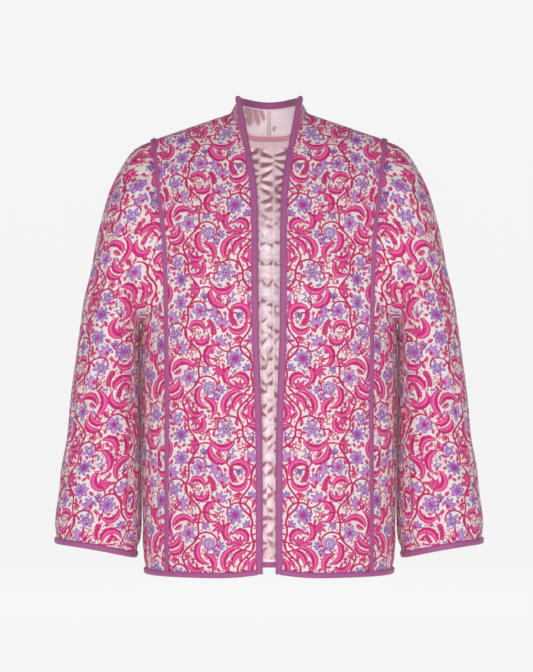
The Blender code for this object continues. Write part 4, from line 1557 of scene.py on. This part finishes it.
def buildNeckBinding():
    look = trimLook
    points, normals = collarPoints, collarNormals
    edge = np.concatenate([points[:-1, 0], points[-1]])
    out = np.concatenate([normals[:, 0], normals[-1, 1:]])
    fromFront, fromTop = intoCollar()
    mitre = fromFront[-1:] + fromTop[:1]
    into = np.concatenate([fromFront[:-1], mitre, fromTop[1:]])
    run = lengthsAlong(edge)
    fromCorner = np.abs(run - run[len(points) - 1])
    narrowed = np.clip(fromCorner / look["frontWidth"], look["cornerShare"], 1)  # towards the mitre
    edge, out, into = bothHalves(edge), unit(bothHalves(out)), bothHalves(into * narrowed[:, None])
    sewBinding(edge, out, into, look["frontWidth"], sides=(1,))
    return swept("neckBinding", bindingRings(edge, out, into, look["frontWidth"]), bindingCotton)


def buildHemBinding():
    look = trimLook
    half = backPoints.shape[1] // 2

    def hem(front, side, back):
        return bothHalves(np.concatenate([front[4:-1], side, back[half:-1][::-1]]))

    edge = hem(frontPoints[0], sidePoints[0], backPoints[0])
    out = unit(hem(frontNormals[0], sideNormals[0], backNormals[0]))
    into = unit(hem(*(grid[3] - grid[0] for grid in (frontPoints, sidePoints, backPoints))))
    sewBinding(edge, out, into, look["hemWidth"], sides=(1,))
    return swept("hemBinding", bindingRings(edge, out, into, look["hemWidth"]), bindingCotton)


def buildCuffBindings():
    look = trimLook
    edge, out = sleevePoints[-1], sleeveNormals[-1]
    into = unit(sleevePoints[-4] - edge)
    wholeLoop = [np.concatenate([line, line[:1]]) for line in (edge, out, into)]
    sewBinding(*wholeLoop, look["cuffWidth"])
    return boundPair("cuffBinding", edge, out, into, look["cuffWidth"], closed=True)


def buildStrips():
    # over the seam, from the front hem over the shoulder to the back hem
    look = trimLook
    step = slice(4, None, 2)
    path = np.concatenate([frontPoints[step, -1], backPoints[4:-1, -1][::-1]])
    onBody = np.concatenate([frontPoints[step, -5], backPoints[4:-1, -4][::-1]])
    outBody = np.concatenate([frontNormals[step, -3], backNormals[4:-1, -3][::-1]])
    shares = np.linspace(0, 1, look["stripRows"])
    path, onBody = atShares(path, shares), atShares(onBody, shares)
    outBody = evened(atShares(outBody, shares), 4)
    edges = np.concatenate([sidePoints[:, 0], sidePoints[:, -1], sleevePoints[0]])
    beside = np.concatenate([sidePoints[:, 3], sidePoints[:, -4], sleevePoints[4]])
    outs = np.concatenate([sideNormals[:, 1], sideNormals[:, -2], sleeveNormals[3]])
    nearest = np.array([np.square(edges - point).sum(axis=1).argmin() for point in path])
    along = np.gradient(path, axis=0)
    toBody = evened(squareTo(along, onBody - path), 5)
    toArm = evened(squareTo(along, beside[nearest] - edges[nearest]), 9)
    outArm = evened(outs[nearest], 9)
    upward = evened(unit(outBody + outArm), 4)
    half = look["stripHalfWidth"]
    columns = []
    for place, level in (
        (-1.0, look["stripUnder"]),
        (0.0, look["stripUnder"]),
        (1.0, look["stripUnder"]),
        (1.0, look["stripEdge"]),
        (0.9, look["stripShoulder"]),
        (0.5, look["stripTop"]),
        (0.0, look["stripTop"]),
        (-0.5, look["stripTop"]),
        (-0.9, look["stripShoulder"]),
        (-1.0, look["stripEdge"]),
    ):
        share = abs(place)
        toSide, outSide = (toArm, outArm) if place > 0 else (toBody, outBody)
        out = unit(upward * (1 - share) + outSide * share)
        columns.append(path + toSide * share * half + out * level)
    rings = np.stack(columns, axis=1)
    for column in (4, 8):
        bothSides("mauve", rings[:, column], upward, spacing=threadLook["trimEvery"])
    return [swept(f"seamStrip_{word}", mirrored(rings, sign), bindingCotton) for word, sign in halves]


frontBindings = buildFrontBindings()
neckBinding = buildNeckBinding()
hemBinding = buildHemBinding()
cuffBindings = buildCuffBindings()
strips = buildStrips()
print("stage: bindings and strips made")

# Satin lining

liningLook = {
    "cloth": 0.0008,
    "gap": 0.0004,
    "rise": 0.0008,
    "channels": 15,
    "channelShift": 0.16,  # of a channel, to the wearer's right
    "spacing": 0.0025,
    "size": (0.330, 0.690),  # cloth width and length
    "across": 0.995,  # share of the back's width that it covers
    "span": (0.016, 0.985),  # from and to, as shares of the back's height
    "pucker": 0.0003,
    "hemFade": (0.002, 0.014),
    "topFade": (0.002, 0.010),
    "shadeFade": (0.003, 0.003),
    # pulled folds: side by side in a channel, spacing along the cloth, height,
    # how often (1 is always), and where: height above the hem, reach
    "folds": [
        (1, 0.0135, 0.0026, 2.20, 0.600, 0.080),
        (2, 0.0100, 0.0012, 0.00, 0.430, 0.090),
        (2, 0.0125, 0.0016, 0.90, 0.170, 0.200),
    ],
    "hemShade": 0.45,  # painted shade, deeper near the hem
    "hemReach": 0.14,
    "collarGap": 0.0009,
    "collarStart": 0.05,  # share of the collar's height
    "collarDrop": 0.0100,  # below the collar's top edge
    "collarFirst": 9,  # first column clear of the front edge's binding
    "collarRows": 40,
    "collarPad": 0.0006,
    "collarWaves": 0.0003,
    "collarSeed": 21,
    "collarFade": (0.001, 0.004),
    # painted highlight laid over the whole collar lining
    "collarShine": 0.45,
    "deepestDent": 0.0010,
    "darkestFold": 0.7,
    "seamShade": 0.85,
    "seamHalfWidth": 0.0030,  # of the flat seam at the collar's centre back
    "seamFade": 0.004,
    "seamSoft": 0.001,
    # on each half of the collar: from u, v to u, v, then half width and depth; u starts at the centre back
    "collarCreases": {
        "right": [
            (0.047, 0.052, 0.033, 0.010, 0.0150, 0.0020),
            (0.029, 0.052, 0.015, 0.015, 0.0056, 0.0019),
            (0.020, 0.052, 0.006, 0.021, 0.0050, 0.0018),
        ],
        "left": [
            (0.010, 0.014, 0.005, 0.006, 0.0035, 0.0016),
            (0.040, 0.046, 0.036, 0.030, 0.0040, 0.0010),
        ],
    },
    "tapeWidth": 0.0085,
    "tapeAbove": 0.0045,  # how far it stands above the neck seam
    "tapeReach": 0.28,  # to either side, as a share of the back's half width
    "tapeColumns": 90,
    "tapeLevels": (0.0006, 0.0010, 0.0012),  # thickness at its edges, near them and in the middle
}


def pulledFolds(phase, along, every, seed, often):
    # slanting folds between stitch lines, each wider at one end: their height, and their painted shade
    # (positive) with a painted highlight beside it (negative)
    channel = np.floor(phase)
    t = phase - channel
    count = along / every + (0.37 * channel + 0.21 * channel**2 + 0.13 * seed) % 1
    height, shade = np.zeros_like(count), np.zeros_like(count)
    for near in (-1, 0, 1, 2):
        number = np.floor(count) + near
        key = 12.9 * number + 4.1 * channel + seed  # scatters each fold in a fixed way
        middle = number + 0.3 * np.sin(key) + 0.8 * np.sin(2.3 * key) * (t - 0.5)
        wide = np.where(np.sin(5.3 * key) > 0, t, 1 - t)
        away = (count - middle) / (0.18 + 0.36 * wide)
        strength = np.clip(often + 1.4 * np.sin(9.1 * key), 0, 1)
        height += strength * np.exp(-away * away)
        # painted shade on each fold's lower flank, painted highlight on its upper flank
        dark = smooth((1 - np.abs(away + 0.6)) / 0.5)
        shade += strength * (1.4 * dark - 0.5 * np.exp(-1.8 * (away - 0.8) ** 2))
    taper = np.sin(math.pi * np.clip(t, 0, 1)) ** 0.5
    return height * taper, shade * taper


# the satin's fold attribute: painted shade where positive, painted highlight where negative
def setPaintedShadeAndHighlight(piece, shade):
    spare = len(piece.data.vertices) - shade.size
    setNumbers(piece, "fold", np.concatenate([shade.ravel(), np.zeros(spare)]))


def buildBackLining():
    look = liningLook
    columns, rows = (round(size / look["spacing"]) for size in look["size"])
    columns += 1 - columns % 2
    reach = look["across"]
    across = np.linspace(-reach, reach, columns)
    points = backSurface(evenShares(backSurface, 0.5, rows, *look["span"]), across)
    normals = gridNormals(points, np.array([0, 1.0, 0.5]))
    v = lengthsAlong(points)
    place = (across[None, :] + 1) / 2 + look["channelShift"] / look["channels"]
    fade = edgeFade(v, *look["hemFade"]) * edgeFade(v[-1] - v, *look["topFade"])
    relief = quilted(place, v, look["channels"], look["rise"], look["pucker"])
    # painted shade deepening towards the hem; each row of folds adds its painted shade and highlight
    shade = look["hemShade"] * smooth(1 - points[..., 2] / look["hemReach"])
    for number, (beside, every, height, often, middle, spread) in enumerate(look["folds"]):
        strength = np.exp(-(((points[..., 2] - middle) / spread) ** 4))
        folds, shades = pulledFolds(place * look["channels"] * beside, v, every, number, often)
        relief += strength * height * folds
        shade += strength * shades
    inside = cut["wall"] + look["gap"]
    shown = points - normals * (inside + look["cloth"] + fade * relief)[..., None]
    piece = shell("backLining", shown, points - normals * inside, -normals, [satin])
    setPaintedShadeAndHighlight(piece, np.clip(shade * edgeFade(v[-1] - v, *look["shadeFade"]), -1, 1))
    for line in range(1, look["channels"]):
        at = (line - look["channelShift"]) / look["channels"] * 2 - 1
        column = round((at + reach) / (2 * reach) * (columns - 1))
        stitchAlong("rose", shown[3:-3, column], -normals[3:-3, column])
    return piece


def buildCollarLinings():
    look = liningLook
    columns = round(collarLook["size"][0] / collarLook["spacing"])
    low, top = collarEdges(columns)
    height = np.linalg.norm(top - low, axis=1)[:, None]
    rows = np.linspace(0, 1, look["collarRows"])[:, None, None]
    up = look["collarStart"] * (1 - rows) + (1 - look["collarDrop"] / height) * rows
    points, normals = (grid[:, look["collarFirst"] :] for grid in collarSurface(up, columns))
    u, v = lengthsAcross(points), lengthsAlong(points)
    fromSeam = u[:, -1:] - u
    clear = edgeFade(fromSeam, look["seamHalfWidth"], look["seamFade"]) * edgeFade(v, *look["collarFade"])
    hidden = points - normals * (cut["wall"] + look["collarGap"])
    made = []
    for word, sign in halves:
        dents = -creased(fromSeam, v, look["collarCreases"][word]) * clear
        waves = slowWaves(u * sign, v, look["collarWaves"], look["collarSeed"]) * clear
        deep = look["cloth"] + look["collarPad"] + waves - np.minimum(dents, look["deepestDent"])
        shown = hidden - normals * deep[..., None]
        grids = [mirrored(grid, sign) for grid in (shown, hidden, -normals)]
        piece = shell(f"collarLining_{word}", *grids, [satin])
        seam = look["seamShade"] * (1 - edgeFade(fromSeam, look["seamHalfWidth"], look["seamSoft"]))
        # painted shade in the creases, the darker seam band, and a painted highlight over the rest
        shade = dents / look["deepestDent"] + seam - look["collarShine"]
        setPaintedShadeAndHighlight(piece, np.clip(shade, -1, look["darkestFold"]))
        made.append(piece)
        line = round(look["seamHalfWidth"] / collarLook["spacing"]) + 1
        seamLine, seamOut = grids[0][2:-2, -line], grids[2][2:-2, -line]
        stitchAlong("rose", seamLine, seamOut, spacing=threadLook["collarEvery"])
    return made


def buildNeckTape():
    look = liningLook
    across = np.linspace(-look["tapeReach"], look["tapeReach"], look["tapeColumns"])
    rows = backSurface([0.985, 1.0], across)
    full = backSurface(np.linspace(0.96, 1, 12), across)
    out = gridNormals(full, np.array([0, 1.0, 0.5]))[-1]
    edge, down = rows[1], unit(rows[0] - rows[1])
    near = cut["wall"] + 2 * look["gap"] + look["cloth"] + look["rise"]
    wide, above = look["tapeWidth"], look["tapeAbove"]
    low, high, top = (near + level for level in look["tapeLevels"])
    profile = [(0, near), (1, near), (1, low), (0.8, high), (0.5, top), (0.2, high), (0, low)]
    rings = [edge + down * (share * wide - above) - out * deep for share, deep in profile]
    for share in (0.15, 0.85):
        line = edge + down * (share * wide - above) - out * high
        stitchAlong("rose", line, -out, spacing=threadLook["tapeEvery"])
    return swept("neckTape", np.stack(rings, axis=1), tapeCloth)


backLining = buildBackLining()
collarLinings = buildCollarLinings()
neckTape = buildNeckTape()
print("stage: lining made")

# Stitches, sewn by Geometry Nodes: one short spindle of thread at each marked place

def stitchTree():
    tree = bpy.data.node_groups.new("sewStitches", "GeometryNodeTree")
    face = tree.interface
    face.new_socket("Geometry", in_out="INPUT", socket_type="NodeSocketGeometry")
    face.new_socket("Stitch scale", in_out="INPUT", socket_type="NodeSocketVector")
    face.new_socket("Thread", in_out="INPUT", socket_type="NodeSocketMaterial")
    face.new_socket("Geometry", in_out="OUTPUT", socket_type="NodeSocketGeometry")
    start, end = tree.nodes.new("NodeGroupInput"), tree.nodes.new("NodeGroupOutput")
    spindle = tree.nodes.new("GeometryNodeMeshUVSphere")
    spindle.inputs["Segments"].default_value = 4
    spindle.inputs["Rings"].default_value = 2
    spindle.inputs["Radius"].default_value = 1.0
    lay = tree.nodes.new("GeometryNodeInputNamedAttribute")
    lay.data_type = "FLOAT_VECTOR"
    lay.inputs["Name"].default_value = "lay"
    turn = tree.nodes.new("FunctionNodeEulerToRotation")
    spread = tree.nodes.new("GeometryNodeInstanceOnPoints")
    solid = tree.nodes.new("GeometryNodeRealizeInstances")
    dress = tree.nodes.new("GeometryNodeSetMaterial")
    link = tree.links.new
    link(start.outputs["Geometry"], spread.inputs["Points"])
    link(spindle.outputs["Mesh"], spread.inputs["Instance"])
    link(lay.outputs["Attribute"], turn.inputs[0])
    link(turn.outputs[0], spread.inputs["Rotation"])
    link(start.outputs["Stitch scale"], spread.inputs["Scale"])
    link(spread.outputs["Instances"], solid.inputs["Geometry"])
    link(solid.outputs["Geometry"], dress.inputs["Geometry"])
    link(start.outputs["Thread"], dress.inputs["Material"])
    link(dress.outputs["Geometry"], end.inputs["Geometry"])
    return tree


def sew(name, rows, tree, material):
    places, along, normal = (np.concatenate(parts) for parts in zip(*rows))
    across = np.cross(along, normal)
    mesh = bpy.data.meshes.new(name + "_places")
    mesh.from_pydata(standing(places).tolist(), [], [])
    bases = np.stack([normal, across, along], axis=-1)  # thread runs along its own Z
    turns = [Matrix(base.tolist()).to_euler() for base in bases]
    lay = mesh.attributes.new("lay", "FLOAT_VECTOR", "POINT")
    lay.data.foreach_set("vector", np.array(turns, np.float32).ravel())
    marks = bpy.data.objects.new(name + "_places", mesh)
    bpy.context.scene.collection.objects.link(marks)
    modifier = marks.modifiers.new("sew", "NODES")
    modifier.node_group = tree
    sockets = {item.name: item.identifier for item in tree.interface.items_tree if item.in_out == "INPUT"}
    thick = threadLook["halfThickness"]
    modifier[sockets["Stitch scale"]] = (thick, thick, threadLook["halfLength"])
    modifier[sockets["Thread"]] = material
    ready = marks.evaluated_get(bpy.context.evaluated_depsgraph_get())
    sewn = bpy.data.meshes.new_from_object(ready)
    bpy.data.objects.remove(marks)
    piece = bpy.data.objects.new(name, sewn)
    sewn.name = name
    sewn.shade_smooth()
    bpy.context.scene.collection.objects.link(piece)
    return piece


sewingTree = stitchTree()
quiltStitches = sew("quiltStitches", sewing["pale"], sewingTree, paleThread)
trimStitches = sew("trimStitches", sewing["mauve"], sewingTree, mauveThread)
liningStitches = sew("liningStitches", sewing["rose"], sewingTree, roseThread)
print("stage: stitches sewn")

# Each piece hangs from the root and takes the place of its CAD nodes, which are hidden


def declare(piece, nodes):
    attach(piece, "root")
    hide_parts(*nodes)


stitches = [(quiltStitches, "printed_cotton"), (trimStitches, "binding_cotton"), (liningStitches, "satin")]
for piece, slot in stitches:
    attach(piece, "root")

declare(backPanel, ["back"])
for k, word in enumerate(("left", "right")):
    declare(fronts[k], [f"front_{word}"])
    declare(sides[k], [f"side_{word}"])
    declare(sleeves[k], [f"sleeve_{word}"])
    declare(collars[k], [f"collar_{word}"])
    declare(strips[k], [f"strip_{word}"])
    declare(frontBindings[k], [f"binding_front_{word}"])
    declare(cuffBindings[k], [f"binding_cuff_{word}"])
    declare(collarLinings[k], [f"collar_lining_{word}"])
declare(hemBinding, ["binding_hem"])
declare(neckBinding, ["binding_neck"])
declare(backLining, ["back_lining"])
declare(neckTape, ["neck_tape"])
print("stage: pieces declared")

# Stage, light and camera

stageLook = {
    "floorHeight": -0.98,
    "wallAt": 9.0,  # how far behind the jacket
    "bend": 2.0,
    "halfWidth": 9.0,
    "nearEdge": -9.0,
    "wallTop": 6.0,
    "shade": (0.10, 0.10, 0.10, 1.0),
    "glow": 0.86,
    "worldShade": (1.0, 1.0, 1.0, 1.0),
    "worldStrength": 0.22,
    # name, place, aim, side length, watts
    "lamps": [
        ("frontLamp", (0.0, -5.0, -0.16), (0, 0, -0.28), 0.25, 132.0),
        ("keyLamp", (-2.8, -2.6, 2.0), (0, 0, -0.25), 2.0, 12.0),
        ("fillLamp", (2.9, -2.8, 1.2), (0, 0, -0.30), 2.2, 8.0),
        ("backLamp", (0.0, 4.6, 1.6), (0, 0, -0.30), 2.4, 40.0),
    ],
}


def buildBackdrop():
    look = stageLook
    turn = np.linspace(0, math.pi / 2, 16)
    y = look["wallAt"] - look["bend"] + look["bend"] * np.sin(turn)
    z = look["floorHeight"] + look["bend"] * (1 - np.cos(turn))
    profile = [(look["nearEdge"], look["floorHeight"]), *zip(y, z), (look["wallAt"], look["wallTop"])]
    points = [(side * look["halfWidth"], a, b) for a, b in profile for side in (-1, 1)]
    faces = [(2 * k, 2 * k + 1, 2 * k + 3, 2 * k + 2) for k in range(len(profile) - 1)]
    mesh = bpy.data.meshes.new("backdrop")
    mesh.from_pydata(points, [], faces)
    mesh.shade_smooth()
    material, shader = newMaterial("backdropPaper", Roughness=0.95)[:2]
    shader.inputs["Base Color"].default_value = look["shade"]
    shader.inputs["Specular IOR Level"].default_value = 0.0
    shader.inputs["Emission Color"].default_value = look["worldShade"]
    shader.inputs["Emission Strength"].default_value = look["glow"]
    mesh.materials.append(material)
    backdrop = bpy.data.objects.new("backdrop", mesh)
    bpy.context.scene.collection.objects.link(backdrop)
    backdrop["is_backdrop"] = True


def buildLight():
    world = bpy.data.worlds.new("studio")
    world.use_nodes = True
    sky = world.node_tree.nodes["Background"]
    sky.inputs["Color"].default_value = stageLook["worldShade"]
    sky.inputs["Strength"].default_value = stageLook["worldStrength"]
    bpy.context.scene.world = world
    for name, place, aim, size, power in stageLook["lamps"]:
        light = bpy.data.lights.new(name, "AREA")
        light.shape = "SQUARE"
        light.size = size
        light.energy = power
        lamp = bpy.data.objects.new(name, light)
        lamp.location = place
        lamp.rotation_euler = (Vector(aim) - Vector(place)).to_track_quat("-Z", "Y").to_euler()
        bpy.context.scene.collection.objects.link(lamp)


cameraLook = {"place": (-0.0038, -5.13, -0.293), "lens": 188.6}


def buildCamera():
    data = bpy.data.cameras.new("photoCamera")
    data.lens = cameraLook["lens"]
    camera = bpy.data.objects.new("photoCamera", data)
    camera.location = cameraLook["place"]
    camera.rotation_euler = (math.radians(90), 0, 0)  # level, looking along +Y
    bpy.context.scene.collection.objects.link(camera)
    bpy.context.scene.camera = camera


bpy.context.scene.view_settings.view_transform = "Standard"
buildBackdrop()
buildLight()
buildCamera()
print("stage: backdrop, light and camera set")

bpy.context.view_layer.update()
shownTriangles = {}
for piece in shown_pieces():
    if piece.type == "MESH":
        shownTriangles[piece.name] = sum(len(face.vertices) - 2 for face in piece.data.polygons)
print("triangles", sum(shownTriangles.values()), shownTriangles)
